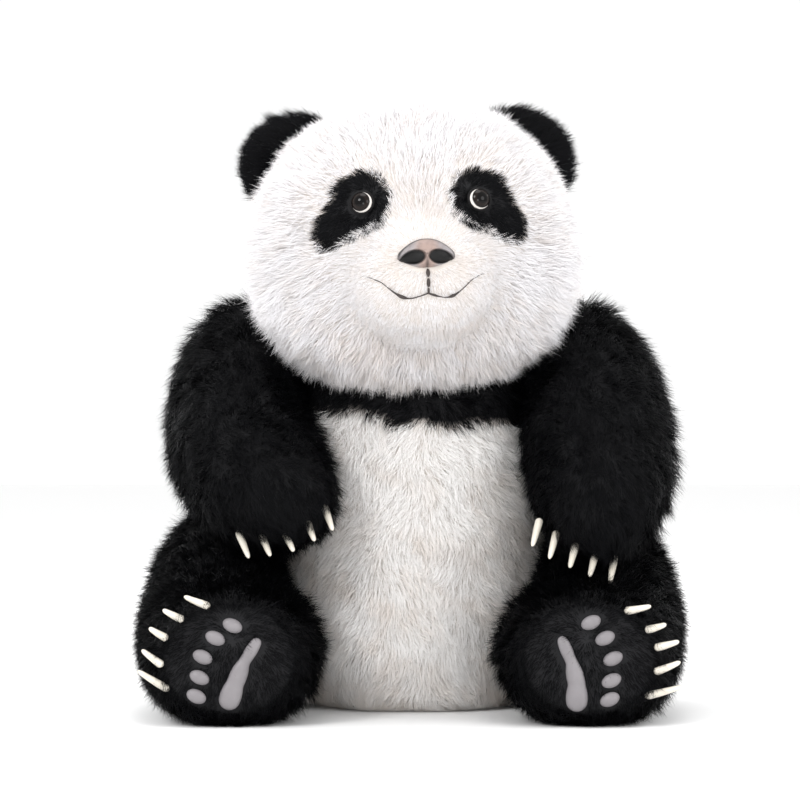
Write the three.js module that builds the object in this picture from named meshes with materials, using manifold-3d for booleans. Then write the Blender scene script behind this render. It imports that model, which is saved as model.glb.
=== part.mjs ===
// A sitting plush panda with five turning joints: neck, two shoulders and two hips.
// Millimetres, +Z up, the face looks along -Y. Left and right are the panda's own, so left is +X.
// The origin is under the body, on the surface that the panda sits on.

import * as THREE from 'three';
import { mergeVertices } from 'three/addons/utils/BufferGeometryUtils.js';
import Module from 'manifold-3d';

// ---- Body ----
const TORSO_WIDTH = 176;
const TORSO_DEPTH = 170;
const TORSO_HEIGHT = 262; // the whole pear, before the neck slopes its top off
const TORSO_SET_BACK = 20; // middle of the pear behind the origin
const YOKE_HEIGHT = 190; // lower edge of the black fur over chest and shoulders
const SIDE_SEAM = 12; // seam between belly and back, behind the middle of the pear
const TAIL_SIZE = { width: 40, depth: 34, height: 46 };
const TAIL_HEIGHT = 52;

// ---- Head ----
const HEAD_WIDTH = 210;
const HEAD_DEPTH = 176;
const HEAD_HEIGHT = 184;
const HEAD_SQUARENESS = 2.4;
const HEAD_CORNER = 1.03; // reach of the squared-off cheeks over the half width
const HEAD_TURN = 4.5; // degrees to the panda's left
const MUZZLE = { width: 96, depth: 92, height: 80, drop: 25, stand: 32 };
const EAR = { radius: 34, thickness: 26, out: 74, up: 58, back: 20 };
const PATCH = { out: 37, up: 28, radius: 17.5, tipOut: 61, tipUp: 10, tipRadius: 8.5 };
const NOSE = { width: 37, depth: 22, height: 18, up: 17 };
const MOUTH = { halfWidth: 40, cornerUp: 5, dipOut: 16, dipUp: -10, middleUp: -8 };
const THREAD_RADIUS = 1;

// ---- Eyes ----
const EYE_RADIUS = 7;
const EYE_OUT = 38;
const EYE_UP = 28;
const EYE_WASHER_RADIUS = 10;
const EYE_WASHER_SET_IN = 4.5; // behind the curved inside of the cover

// ---- Covers, stuffing and their clearances ----
const COVER_WALL = 5; // backing and dense pile
const SEAM_GAP = 0.3;
const JOINT_GAP = 2; // between the faces of two covers that turn on each other
const REST_GAP = 2.5; // between soft parts that only lie against each other

// ---- Joint hardware ----
const DISC_RADIUS = 19;
const DISC_THICKNESS = 3;
const STEM_RADIUS = 4;
const STEM_CLEARANCE = 0.6;
const DISC_SET_IN = 0.6; // disc behind the flat face of a limb's cover
const WASHER_PLAY = 4.7; // washer behind the deepest point of the curved wall that it spans

// ---- Neck ----
const NECK_TILT = 25; // degrees that the neck's axis leans forwards
const NECK_DROP = 25; // crown of the pear above the middle of the neck
const NECK_FORWARD = 11; // middle of the neck in front of the middle of the pear
const NECK_FLAT = 12; // how much of the head's ball is cut off at the neck

// ---- Arms: stations along the limb, out from, in front of and above the shoulder joint ----
const SHOULDER_HEIGHT = 208;
const SHOULDER_FORWARD = 10; // in front of the middle of the pear
const ARM_RAISE = 28; // degrees that an arm swings up from rest
const ARM_SIZES = [[42, 42], [50, 52], [47, 48], [42, 42]];
const ARM_ENDS = [2.5, 2.9]; // bluntness of shoulder and paw
const ARM_PATHS = {
  left: [[34, -22, 60], [38, 4, 8], [47, 54, -42], [41, 116, -90]],
  right: [[30, -22, 64], [32, 4, 8], [31, 58, -42], [-10, 116, -72]],
};

// ---- Legs: stations from the rear of the thigh to the sole ----
const HIP_HEIGHT = 70;
const HIP_FORWARD = 4; // in front of the middle of the pear
const LEG_BACK = 80; // rear of the thigh behind the hip joint
const SOLE_FORWARD = 166; // face of the sole in front of the hip joint
const SOLE_BULGE = 9; // cut off the limb's end to make the sole flat
const LEG_PRESS = 3; // squashed flat on the floor
const LEG_SIZES = [[43, 60], [46, 70], [50, 60], [56, 47], [54, 46]];
const LEG_ENDS = [2.5, 5]; // bluntness of seat and sole
const LEG_OUT = { left: [38, 39, 36, 25, 22], right: [38, 40, 38, 30, 27] };

// ---- Claws and pads ----
const CLAW = { length: 22, root: 3.4, tip: 0.9, sunk: 4, bend: 3, behindSole: 8, forward: 0.55 };
const PAD_THICKNESS = 5;
const PAD_SHEET = 1.2;
const TOE_PAD = { long: 7, short: 5, tilt: 0.35 };
const TOE_PADS = { left: [[2, 67], [11, 57], [16, 44], [15, 30], [14, 18]],
  right: [[1, 65], [-10, 57], [-18, 45], [-20, 32], [-22, 20]] };
const SOLE_PAD = { left: [[-16, 55, 4], [-10, 41, 5], [-7, 28, 7], [-7, 17, 8]],
  right: [[16, 54, 4], [8, 41, 5], [3, 29, 7], [-1, 18, 8]] };
const FOOT_CLAWS = {
  left: [[20, 72], [30, 60], [38, 49], [39, 35], [40, 20]],
  right: [[-11, 74], [-25, 65], [-34, 53], [-39, 38], [-41, 25]],
};
const FOOT_CLAW_RISE = { left: 15, right: 28 }; // degrees above level
const PAW_CLAWS = { // out from, in front of and above the shoulder joint
  left: [[4, 104, -80], [15, 106, -88], [28, 107, -94], [41, 105, -100], [54, 102, -104]],
  right: [[-20, 104, -70], [-8, 106, -77], [6, 107, -84], [21, 105, -87], [35, 102, -88]],
};
const PAW_CLAW_LEAN = { left: -0.25, right: -0.35 }; // tips towards the belly

// ---- Weight bag ----
const BAG = { radius: 42, height: 24, lift: 9 };

// ---- Fineness of the soft surfaces ----
const BALL_AROUND = 20;
const BALL_RINGS = 11;
const TORSO_AROUND = 20;
const LIMB_AROUND = 12;
const LIMB_RINGS = 10;
const ROUND = 12; // sides of discs, washers and stems

const radians = THREE.MathUtils.degToRad;
const wasm = await Module();
wasm.setup();

// ---- Solids ----

/** A closed geometry, or anything drawn as one, as a solid that can be joined and cut. */
function solid(geometry) {
  const bare = geometry.index ? geometry.toNonIndexed() : geometry.clone();
  bare.deleteAttribute('normal');
  bare.deleteAttribute('uv');
  const merged = mergeVertices(bare, 1e-4);
  const corners = merged.index.array;
  const kept = [];
  for (let i = 0; i < corners.length; i += 3) {
    const [a, b, c] = corners.slice(i, i + 3);
    if (a !== b && b !== c && c !== a) kept.push(a, b, c);
  }
  return new wasm.Manifold(new wasm.Mesh({
    numProp: 3,
    vertProperties: new Float32Array(merged.attributes.position.array),
    triVerts: new Uint32Array(kept),
  }));
}

/** The triangles of a solid, as a geometry. */
function drawn(shape) {
  const mesh = shape.getMesh();
  const geometry = new THREE.BufferGeometry();
  geometry.setAttribute('position', new THREE.BufferAttribute(mesh.vertProperties, 3));
  geometry.setIndex(new THREE.BufferAttribute(mesh.triVerts, 1));
  geometry.computeVertexNormals();
  return geometry;
}

/** A box between two corners. */
function block(low, high) {
  const size = high.map((value, i) => value - low[i]);
  const box = new THREE.BoxGeometry(...size);
  box.translate(...high.map((value, i) => (value + low[i]) / 2));
  return solid(box);
}

/** A turned piece: its profile is [radius, height] pairs, and its axis is Z. */
function turned(profile, sides = ROUND) {
  const lathe = new THREE.LatheGeometry(profile.map(([r, z]) => new THREE.Vector2(r, z)), sides);
  return solid(lathe.rotateX(Math.PI / 2));
}

/** A round bar along Z between two heights. */
function bar(radius, low, high, sides = ROUND) {
  return turned([[0, low], [radius, low], [radius, high], [0, high]], sides);
}

/** The placing whose origin is at a point and whose Z runs along a direction. */
function placing(point, direction) {
  const turn = new THREE.Quaternion().setFromUnitVectors(new THREE.Vector3(0, 0, 1), direction);
  return new THREE.Matrix4().compose(point, turn, new THREE.Vector3(1, 1, 1));
}

function placed(shape, matrix) {
  return shape.transform(matrix.elements);
}

/** A block that fills everything on the Z side of a placing's origin, from a given height up. */
function halfSpace(matrix, from) {
  const far = 900;
  return placed(block([-far, -far, from], [far, far, far]), matrix);
}

/** A ball with three half sizes and squarer or rounder shoulders, moved inwards by inset. */
function ball(centre, halves, squareness, inset = 0, around = BALL_AROUND, rings = BALL_RINGS) {
  const sphere = new THREE.SphereGeometry(1, around, rings).rotateX(Math.PI / 2);
  const position = sphere.attributes.position;
  const point = new THREE.Vector3();
  for (let i = 0; i < position.count; i += 1) {
    point.fromBufferAttribute(position, i);
    const sum = Math.abs(point.x) ** squareness + Math.abs(point.y) ** squareness
      + Math.abs(point.z) ** squareness;
    point.multiplyScalar(sum ** (-1 / squareness));
    point.set(point.x * (halves[0] - inset), point.y * (halves[1] - inset), point.z * (halves[2] - inset));
    point.add(centre);
    position.setXYZ(i, point.x, point.y, point.z);
  }
  return solid(sphere);
}

/**
 * A soft limb: the rings of a sphere strung along a curve, each ring an ellipse whose half width and
 * half height are read between the stations. squareness says how blunt the two ends are, and side is
 * the direction in which the width is measured.
 */
function limb({ path, sizes, squareness, side }, inset, around = LIMB_AROUND, rings = LIMB_RINGS) {
  const line = new THREE.CatmullRomCurve3(path, false, 'centripetal');
  const sections = new THREE.CatmullRomCurve3(sizes.map(([w, h]) => new THREE.Vector3(w, h, 0)));
  const short = inset / line.getLength();
  const sphere = new THREE.SphereGeometry(1, around, rings);
  const position = sphere.attributes.position;
  const along = new THREE.Vector3();
  const point = new THREE.Vector3();
  for (let i = 0; i < position.count; i += 1) {
    point.fromBufferAttribute(position, i);
    const share = THREE.MathUtils.clamp(-point.y, -1, 1);
    const blunt = share < 0 ? squareness[0] : squareness[1];
    const swell = (1 - Math.abs(share) ** blunt) ** (1 / blunt);
    const ring = Math.hypot(point.x, point.z);
    const across = ring > 1e-6 ? point.x / ring : 0;
    const upright = ring > 1e-6 ? point.z / ring : 0;
    const reached = short + ((share + 1) / 2) * (1 - 2 * short);
    const t = THREE.MathUtils.clamp(reached, 0, 1);
    const section = sections.getPoint(t);
    line.getTangent(t, along);
    const u = side.clone().addScaledVector(along, -side.dot(along)).normalize();
    const v = new THREE.Vector3().crossVectors(along, u);
    line.getPoint(t, point);
    point.addScaledVector(along, (reached - t) * line.getLength());
    point.addScaledVector(u, across * swell * (section.x - inset));
    point.addScaledVector(v, upright * swell * (section.y - inset));
    position.setXYZ(i, point.x, point.y, point.z);
  }
  return solid(sphere);
}

// ---- Materials and the assembly ----

function finish(color, roughness, metalness = 0) {
  return new THREE.MeshStandardMaterial({ color, roughness, metalness });
}

const BLACK_FUR = finish('#151517', 0.95);
const WHITE_FUR = finish('#f1ede9', 0.95);
const FILLING = finish('#e8e4da', 1);
const BAG_CLOTH = finish('#b9b2a4', 0.9);
const HARDBOARD = finish('#d8d4cc', 0.6);
const EYE_GLASS = finish('#0c0c10', 0.08);
const NOSE_RESIN = finish('#4b4044', 0.35);
const CLAW_RESIN = finish('#f2ead8', 0.35);
const PAD_RUBBER = finish('#9d93a1', 0.45);
const THREAD = finish('#1a1718', 0.8);

const panda = new THREE.Group();
const headGroup = new THREE.Group();
panda.add(headGroup);

/** Names a solid, gives it its material and hangs it in its group, at a placing or where it lies. */
function part(name, shape, material, group = panda, matrix = null) {
  const mesh = new THREE.Mesh(drawn(shape), material);
  mesh.name = name;
  if (matrix) mesh.applyMatrix4(matrix);
  group.add(mesh);
}

// ---- Torso ----

const torsoMiddle = new THREE.Vector3(0, TORSO_SET_BACK, 0);

/** The pear's outline: shares of the half width against shares of the height. */
const PEAR = [[0.68, 0], [0.86, 0.06], [0.965, 0.17], [1, 0.34], [0.985, 0.53], [0.93, 0.69],
  [0.84, 0.83], [0.67, 0.935], [0.38, 0.99]];
const pearCurve = new THREE.SplineCurve(PEAR.map(([r, h]) => new THREE.Vector2(r, h)));

/** Half width of the pear at a height. */
function torsoHalfWidth(height) {
  const steps = 200;
  let nearest = pearCurve.getPoint(0);
  for (let i = 1; i <= steps; i += 1) {
    const next = pearCurve.getPoint(i / steps);
    if (next.y * TORSO_HEIGHT > height) break;
    nearest = next;
  }
  return nearest.x * TORSO_WIDTH / 2;
}

const neckAxis = new THREE.Vector3(0, -Math.sin(radians(NECK_TILT)), Math.cos(radians(NECK_TILT)));
const neckPoint = new THREE.Vector3(0, TORSO_SET_BACK - NECK_FORWARD, TORSO_HEIGHT - NECK_DROP);
const neckPlacing = placing(neckPoint, neckAxis);

/** The pear, flat on the floor and sloped off at the neck, moved inwards by inset. */
function torsoSolid(inset) {
  const stations = 9;
  const profile = [[0, inset]];
  for (let i = 0; i <= stations; i += 1) {
    const { x, y } = pearCurve.getPoint(i / stations);
    const height = inset + y * (TORSO_HEIGHT - 2 * inset);
    profile.push([x * TORSO_WIDTH / 2 - inset, height]);
  }
  profile.push([0, TORSO_HEIGHT - inset]);
  const stretch = new THREE.Matrix4().makeScale(1, (TORSO_DEPTH / 2 - inset) / (TORSO_WIDTH / 2 - inset), 1);
  const pear = placed(turned(profile, TORSO_AROUND), stretch.setPosition(torsoMiddle));
  return pear.subtract(halfSpace(neckPlacing, -JOINT_GAP / 2 - inset));
}

// ---- Joints: a point between two covers, and an axis that points into the part that turns ----

function shoulderFrame(sign) {
  const rise = 20;
  const fall = torsoHalfWidth(SHOULDER_HEIGHT - rise) - torsoHalfWidth(SHOULDER_HEIGHT + rise);
  const slope = Math.atan2(fall, 2 * rise);
  const out = torsoHalfWidth(SHOULDER_HEIGHT) + JOINT_GAP / 2;
  const point = new THREE.Vector3(sign * out, TORSO_SET_BACK - SHOULDER_FORWARD, SHOULDER_HEIGHT);
  const axis = new THREE.Vector3(sign * Math.cos(slope), 0, Math.sin(slope));
  return { point, axis, matrix: placing(point, axis) };
}

function hipFrame(sign) {
  const out = TORSO_WIDTH / 2 + JOINT_GAP / 2;
  const point = new THREE.Vector3(sign * out, TORSO_SET_BACK - HIP_FORWARD, HIP_HEIGHT);
  const axis = new THREE.Vector3(sign, 0, 0);
  return { point, axis, matrix: placing(point, axis) };
}

const SIGNS = { left: 1, right: -1 };
const sides = Object.keys(SIGNS);
const shoulders = {};
const hips = {};
for (const name of sides) {
  shoulders[name] = shoulderFrame(SIGNS[name]);
  hips[name] = hipFrame(SIGNS[name]);
}

const limbDisc = JOINT_GAP / 2 + COVER_WALL + DISC_SET_IN;
const shoulderShare = torsoHalfWidth(SHOULDER_HEIGHT) / (TORSO_WIDTH / 2);
const sideCurve = shoulderShare * (TORSO_DEPTH / 2) ** 2 / (TORSO_WIDTH / 2); // radius of the body's side, seen from above
const wallSag = DISC_RADIUS ** 2 / sideCurve;
const torsoWasher = -(JOINT_GAP / 2 + COVER_WALL + wallSag + WASHER_PLAY);
const washerEnd = torsoWasher - DISC_THICKNESS;
const lockEnd = washerEnd - SEAM_GAP - DISC_THICKNESS;
const lockRadius = STEM_RADIUS * 2;

/** The disc inside a limb, with the stem and the lock that hold it to the torso, in one piece. */
const post = turned([
  [0, lockEnd], [lockRadius, lockEnd], [lockRadius, washerEnd - SEAM_GAP],
  [STEM_RADIUS, washerEnd - SEAM_GAP], [STEM_RADIUS, limbDisc],
  [DISC_RADIUS, limbDisc], [DISC_RADIUS, limbDisc + DISC_THICKNESS], [0, limbDisc + DISC_THICKNESS],
]);
const stemHole = STEM_RADIUS + STEM_CLEARANCE;
const washer = bar(DISC_RADIUS, washerEnd, torsoWasher).subtract(bar(stemHole, washerEnd - 1, torsoWasher + 1));
const throughHole = bar(stemHole, lockEnd - 30, limbDisc + 30);
const pocketRadius = DISC_RADIUS + 1;
const discRoom = bar(DISC_RADIUS + SEAM_GAP, limbDisc - SEAM_GAP, limbDisc + DISC_THICKNESS + SEAM_GAP);
const limbPocket = bar(pocketRadius, torsoWasher, limbDisc + DISC_THICKNESS + 1);
const torsoPocket = bar(pocketRadius, lockEnd - 1, limbDisc);

// ---- Head: built round the neck, then turned on it ----

headGroup.position.copy(neckPoint);
headGroup.quaternion.setFromAxisAngle(neckAxis, radians(HEAD_TURN));
const headPlacing = placing(new THREE.Vector3(), neckAxis);
const headCentre = neckAxis.clone().multiplyScalar(HEAD_HEIGHT / 2 - NECK_FLAT);
const headHalves = [HEAD_WIDTH / 2, HEAD_DEPTH / 2, HEAD_HEIGHT / 2];
const muzzleCentre = headCentre.clone();
muzzleCentre.z -= MUZZLE.drop;
muzzleCentre.y -= HEAD_DEPTH / 2 + MUZZLE.stand - MUZZLE.depth / 2;
const muzzleHalves = [MUZZLE.width / 2, MUZZLE.depth / 2, MUZZLE.height / 2];

/** Skull and muzzle as one body with a flat at the neck, moved inwards by inset. */
function headSolid(inset) {
  const skull = ball(headCentre, headHalves, HEAD_SQUARENESS, inset);
  const muzzle = ball(muzzleCentre, muzzleHalves, 2, inset, BALL_AROUND - 4, BALL_RINGS - 3);
  return skull.add(muzzle).intersect(halfSpace(headPlacing, JOINT_GAP / 2 + inset));
}

/** Depth of the head's front at a place on the face, out and up from the middle of the head. */
function faceDepth(out, up) {
  const skull = 1 - Math.abs(out / headHalves[0]) ** HEAD_SQUARENESS
    - Math.abs(up / headHalves[2]) ** HEAD_SQUARENESS;
  return headCentre.y - headHalves[1] * Math.max(skull, 0) ** (1 / HEAD_SQUARENESS);
}

/** Depth of the muzzle's front at a place out and up from the middle of the muzzle. */
function muzzleDepth(out, up) {
  const round = 1 - (out / muzzleHalves[0]) ** 2 - (up / muzzleHalves[2]) ** 2;
  return muzzleCentre.y - muzzleHalves[1] * Math.sqrt(Math.max(round, 0));
}

/** A prism along Y, from inside the head to in front of it, over an outline of [x, z] points. */
function facePrism(outline, inwards) {
  const prism = new THREE.ExtrudeGeometry(outline, { depth: 300, bevelEnabled: false, curveSegments: 5 });
  prism.rotateX(Math.PI / 2);
  prism.translate(0, headCentre.y + inwards, 0);
  return solid(prism);
}

/** Teardrop round the eye: a big and a small circle and the two straight sides that touch both. */
function patchOutline(sign, margin) {
  const big = new THREE.Vector2(sign * PATCH.out, headCentre.z + PATCH.up);
  const small = new THREE.Vector2(sign * PATCH.tipOut, headCentre.z + PATCH.tipUp);
  const aim = small.clone().sub(big);
  const opening = Math.acos((PATCH.radius - PATCH.tipRadius) / aim.length());
  const heading = aim.angle();
  const outline = new THREE.Shape();
  outline.absarc(big.x, big.y, PATCH.radius + margin, heading + opening, heading - opening + 2 * Math.PI);
  outline.absarc(small.x, small.y, PATCH.tipRadius + margin, heading - opening, heading + opening);
  return outline;
}

function muzzleOutline(margin) {
  const outline = new THREE.Shape();
  const shrink = 0.93; // the seam runs just inside the muzzle's widest line
  outline.absellipse(0, muzzleCentre.z, muzzleHalves[0] * shrink + margin, muzzleHalves[2] * shrink + margin,
    0, 2 * Math.PI);
  return outline;
}

/** A stemmed button, such as an eye: dome, shank and thin stem, pointing out along Z. */
function button(radius, dome, shank, stem) {
  const profile = [[0, -stem], [2.4, -stem], [2.4, -shank], [radius, -shank]];
  const steps = 4;
  for (let i = 0; i <= steps; i += 1) {
    const angle = (i / steps) * Math.PI / 2;
    profile.push([i === steps ? 0 : radius * Math.cos(angle), dome * Math.sin(angle)]);
  }
  return turned(profile);
}

const eyeStem = COVER_WALL + EYE_WASHER_SET_IN + 6;
const eye = button(EYE_RADIUS, 5.5, 3, eyeStem);
const eyeHole = bar(EYE_RADIUS + SEAM_GAP, -COVER_WALL - 4, 30);
const eyeWasherTop = -COVER_WALL - EYE_WASHER_SET_IN;
const eyeWasher = bar(EYE_WASHER_RADIUS, eyeWasherTop - 2, eyeWasherTop)
  .subtract(bar(2.4 + SEAM_GAP, eyeWasherTop - 3, eyeWasherTop + 1));
const eyePocket = bar(EYE_WASHER_RADIUS + 0.5, -eyeStem - 0.5, 30);

function eyePlacing(sign) {
  const out = sign * EYE_OUT;
  const depth = faceDepth(out, EYE_UP);
  const towards = new THREE.Vector3(out * 0.55, depth - headCentre.y, EYE_UP * 0.4).normalize();
  return placing(new THREE.Vector3(out, depth, headCentre.z + EYE_UP), towards);
}

function buildHead() {
  const shell = headSolid(0).subtract(headSolid(COVER_WALL));
  const neckHole = placed(throughHole, headPlacing);
  let cover = shell.subtract(neckHole).subtract(facePrism(muzzleOutline(SEAM_GAP), 0));
  let filling = headSolid(COVER_WALL + SEAM_GAP).subtract(placed(limbPocket, headPlacing));
  const clear = ball(headCentre, headHalves, HEAD_SQUARENESS, -SEAM_GAP);
  for (const name of sides) {
    const sign = SIGNS[name];
    const matrix = eyePlacing(sign);
    const patch = shell.intersect(facePrism(patchOutline(sign, 0), 0)).subtract(placed(eyeHole, matrix));
    cover = cover.subtract(facePrism(patchOutline(sign, SEAM_GAP), 0));
    filling = filling.subtract(placed(eyePocket, matrix));
    part(`eye_patch_${name}`, patch, BLACK_FUR, headGroup);
    part(`eye_${name}`, eye, EYE_GLASS, headGroup, matrix);
    part(`eye_washer_${name}`, eyeWasher, HARDBOARD, headGroup, matrix);
    const earCentre = headCentre.clone().add(new THREE.Vector3(sign * EAR.out, EAR.back, EAR.up));
    const ear = ball(earCentre, [EAR.radius, EAR.thickness / 2, EAR.radius], 2, 0, 14, 8).subtract(clear);
    part(`ear_${name}`, ear, BLACK_FUR, headGroup);
  }
  const noseCentre = new THREE.Vector3(0, muzzleDepth(0, NOSE.up), muzzleCentre.z + NOSE.up);
  const noseStem = placed(bar(2.4, -eyeStem, 0, 8), placing(noseCentre, new THREE.Vector3(0, -1, 0)));
  const noseHole = placed(bar(2.4 + SEAM_GAP, -eyeStem - 1, 30, 8),
    placing(noseCentre, new THREE.Vector3(0, -1, 0)));
  const muzzleClear = ball(muzzleCentre, muzzleHalves, 2, -SEAM_GAP, BALL_AROUND - 4, BALL_RINGS - 3);
  const nose = ball(noseCentre, [NOSE.width / 2, NOSE.depth / 2, NOSE.height / 2], 2.4, 0, 14, 8)
    .subtract(muzzleClear).add(noseStem);
  part('nose', nose, NOSE_RESIN, headGroup);
  const muzzle = shell.intersect(facePrism(muzzleOutline(0), 0)).subtract(noseHole);
  part('muzzle_cover', muzzle, WHITE_FUR, headGroup);
  part('mouth_thread', mouthThread(), THREAD, headGroup);
  part('head_cover', cover, WHITE_FUR, headGroup);
  part('head_stuffing', filling.subtract(noseHole), FILLING, headGroup);
  part('neck_post', post, HARDBOARD, headGroup, headPlacing);
}

/** The sewn mouth: a smile and the short line up to the nose, laid on the muzzle. */
function mouthThread() {
  const lift = THREAD_RADIUS + 2 * SEAM_GAP;
  const onMuzzle = ({ x, y }) => new THREE.Vector3(x, muzzleDepth(x, y) - lift, muzzleCentre.z + y);
  const half = [[MOUTH.halfWidth, MOUTH.cornerUp], [MOUTH.halfWidth * 0.72, MOUTH.dipUp * 0.35],
    [MOUTH.dipOut, MOUTH.dipUp]];
  const mirrored = half.map(([out, up]) => [-out, up]).reverse();
  const smile = [...half, [0, MOUTH.middleUp], ...mirrored];
  const line = [[0, MOUTH.middleUp], [0, NOSE.up - NOSE.height / 2 - 1.5]];
  const section = new THREE.Shape();
  section.absarc(0, 0, THREAD_RADIUS, 0, 2 * Math.PI);
  const sew = (points, steps) => {
    const drawnFlat = new THREE.SplineCurve(points.map(([out, up]) => new THREE.Vector2(out, up)));
    const path = new THREE.CatmullRomCurve3(drawnFlat.getPoints(steps).map(onMuzzle));
    return solid(new THREE.ExtrudeGeometry(section, {
      steps, bevelEnabled: false, curveSegments: 2, extrudePath: path,
    }));
  };
  return sew(smile, 18).add(sew(line, 3));
}

// ---- Torso covers, stuffing and bag ----

function buildTorso() {
  const far = 400;
  const shell = torsoSolid(0).subtract(torsoSolid(COVER_WALL));
  const joints = [neckPlacing, ...sides.flatMap((name) => [shoulders[name].matrix, hips[name].matrix])];
  let skin = shell;
  let filling = torsoSolid(COVER_WALL + SEAM_GAP);
  for (const matrix of joints) {
    skin = skin.subtract(placed(throughHole, matrix));
    filling = filling.subtract(placed(torsoPocket, matrix));
  }
  const seam = TORSO_SET_BACK + SIDE_SEAM;
  const low = COVER_WALL + SEAM_GAP;
  const between = (y0, z0, y1, z1) => skin.intersect(block([-far, y0, z0], [far, y1, z1]));
  part('belly_cover', between(-far, low, seam - SEAM_GAP, YOKE_HEIGHT - SEAM_GAP), WHITE_FUR);
  part('back_cover', between(seam, low, far, YOKE_HEIGHT - SEAM_GAP), WHITE_FUR);
  part('shoulder_yoke', between(-far, YOKE_HEIGHT, far, far), BLACK_FUR);
  part('seat_panel', between(-far, -1, far, COVER_WALL), WHITE_FUR);
  const bagMiddle = new THREE.Matrix4().makeTranslation(0, TORSO_SET_BACK, 0);
  const bag = turned([[0, BAG.lift], [BAG.radius * 0.8, BAG.lift], [BAG.radius, BAG.lift + BAG.height * 0.4],
    [BAG.radius * 0.75, BAG.lift + BAG.height * 0.85], [0, BAG.lift + BAG.height]]);
  const bagRoom = bar(BAG.radius + 1, -1, BAG.lift + BAG.height + 1);
  part('pellet_bag', bag, BAG_CLOTH, panda, bagMiddle);
  part('torso_stuffing', filling.subtract(placed(bagRoom, bagMiddle)), FILLING);
  for (const [name, matrix] of [['neck', neckPlacing], ...sides.flatMap((side) => [
    [`shoulder_${side}`, shoulders[side].matrix], [`hip_${side}`, hips[side].matrix]])]) {
    part(`${name}_washer`, washer, HARDBOARD, panda, matrix);
  }
  const tailHalves = [TAIL_SIZE.width / 2, TAIL_SIZE.depth / 2, TAIL_SIZE.height / 2];
  const tailCentre = new THREE.Vector3(0, TORSO_SET_BACK + TORSO_DEPTH / 2, TAIL_HEIGHT);
  const tail = ball(tailCentre, tailHalves, 2, 0, 12, 7).subtract(torsoSolid(-SEAM_GAP));
  part('tail', tail, WHITE_FUR);
}

// ---- Arms ----

function armShape(name) {
  const { point } = shoulders[name];
  const path = ARM_PATHS[name].map(([out, forward, up]) => new THREE.Vector3(
    point.x + SIGNS[name] * out, point.y - forward, point.z + up));
  return { path, sizes: ARM_SIZES, squareness: ARM_ENDS, side: new THREE.Vector3(1, 0, 0) };
}

/** One arm, flat against the torso's side and dented where the body and the head press on it. */
function armSolid(name, inset) {
  let arm = limb(armShape(name), inset)
    .intersect(halfSpace(shoulders[name].matrix, JOINT_GAP / 2 + inset).add(frontOf(inset)))
    .subtract(torsoSolid(-(JOINT_GAP / 2 + inset)));
  const room = headRoom(REST_GAP + inset);
  const stops = 4;
  for (let i = 0; i <= stops; i += 1) {
    arm = arm.subtract(placed(room, lowered(name, ARM_RAISE * i / stops)));
  }
  return arm;
}

/** The placing that turns things down round a shoulder, as the arm sees them when it is raised. */
function lowered(name, degrees) {
  const { point, axis } = shoulders[name];
  const turn = new THREE.Matrix4().makeRotationAxis(axis, radians(degrees * SIGNS[name]));
  const there = new THREE.Matrix4().makeTranslation(point);
  const back = new THREE.Matrix4().makeTranslation(point.clone().negate());
  return there.multiply(turn).multiply(back);
}

/** The round space that the head needs as it turns, grown by a gap. */
function headRoom(gap) {
  const reach = Math.max(...headHalves) * HEAD_CORNER;
  return ball(neckPoint.clone().add(headCentre), [reach, reach, reach], 2, -gap);
}

/** Everything far enough in front of the body that an arm may reach inwards over the belly. */
function frontOf(inset) {
  const far = 900;
  return block([-far, -far, -far], [far, TORSO_SET_BACK - TORSO_DEPTH * 0.3 - inset, far]);
}

function buildArm(name) {
  const { matrix } = shoulders[name];
  const outer = armSolid(name, 0);
  const cover = outer.subtract(armSolid(name, COVER_WALL)).subtract(placed(throughHole.add(discRoom), matrix));
  const filling = armSolid(name, COVER_WALL + SEAM_GAP).subtract(placed(limbPocket, matrix));
  part(`arm_cover_${name}`, cover, BLACK_FUR);
  part(`arm_stuffing_${name}`, filling, FILLING);
  part(`shoulder_post_${name}`, post, HARDBOARD, panda, matrix);
}

// ---- Legs ----

function legShape(name) {
  const { point } = hips[name];
  const ends = [-LEG_BACK, SOLE_FORWARD + SOLE_BULGE];
  const path = LEG_OUT[name].map((out, i) => {
    const share = i / (LEG_OUT[name].length - 1);
    const forward = THREE.MathUtils.lerp(ends[0], ends[1], share);
    return new THREE.Vector3(point.x + SIGNS[name] * out, point.y - forward, LEG_SIZES[i][1] - LEG_PRESS);
  });
  return { path, sizes: LEG_SIZES, squareness: LEG_ENDS, side: new THREE.Vector3(1, 0, 0) };
}

/** How far the lower torso reaches from the hip joint, seen along the joint's axis. */
function seatReach() {
  const low = PEAR.filter(([, height]) => height * TORSO_HEIGHT < HIP_HEIGHT);
  return Math.max(...low.map(([share, height]) => Math.hypot(
    share * TORSO_DEPTH / 2 - HIP_FORWARD, height * TORSO_HEIGHT - HIP_HEIGHT)));
}

/** One leg: flat on the floor, at the sole and beside the hip, clear of the seat that it swings round. */
function legSolid(name, inset) {
  const far = 900;
  const { point, matrix } = hips[name];
  const sole = point.y - SOLE_FORWARD;
  const room = block([-far, sole + inset, inset], [far, far, far]);
  const beside = JOINT_GAP / 2 + inset;
  const swing = bar(seatReach() + REST_GAP + inset, -2 * TORSO_WIDTH, beside, 2 * ROUND);
  return limb(legShape(name), inset).intersect(room)
    .intersect(halfSpace(matrix, beside).add(frontOf(inset)))
    .subtract(placed(swing, matrix))
    .subtract(torsoSolid(-beside))
    .subtract(limb(armShape(name), -(REST_GAP + inset)));
}

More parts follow.
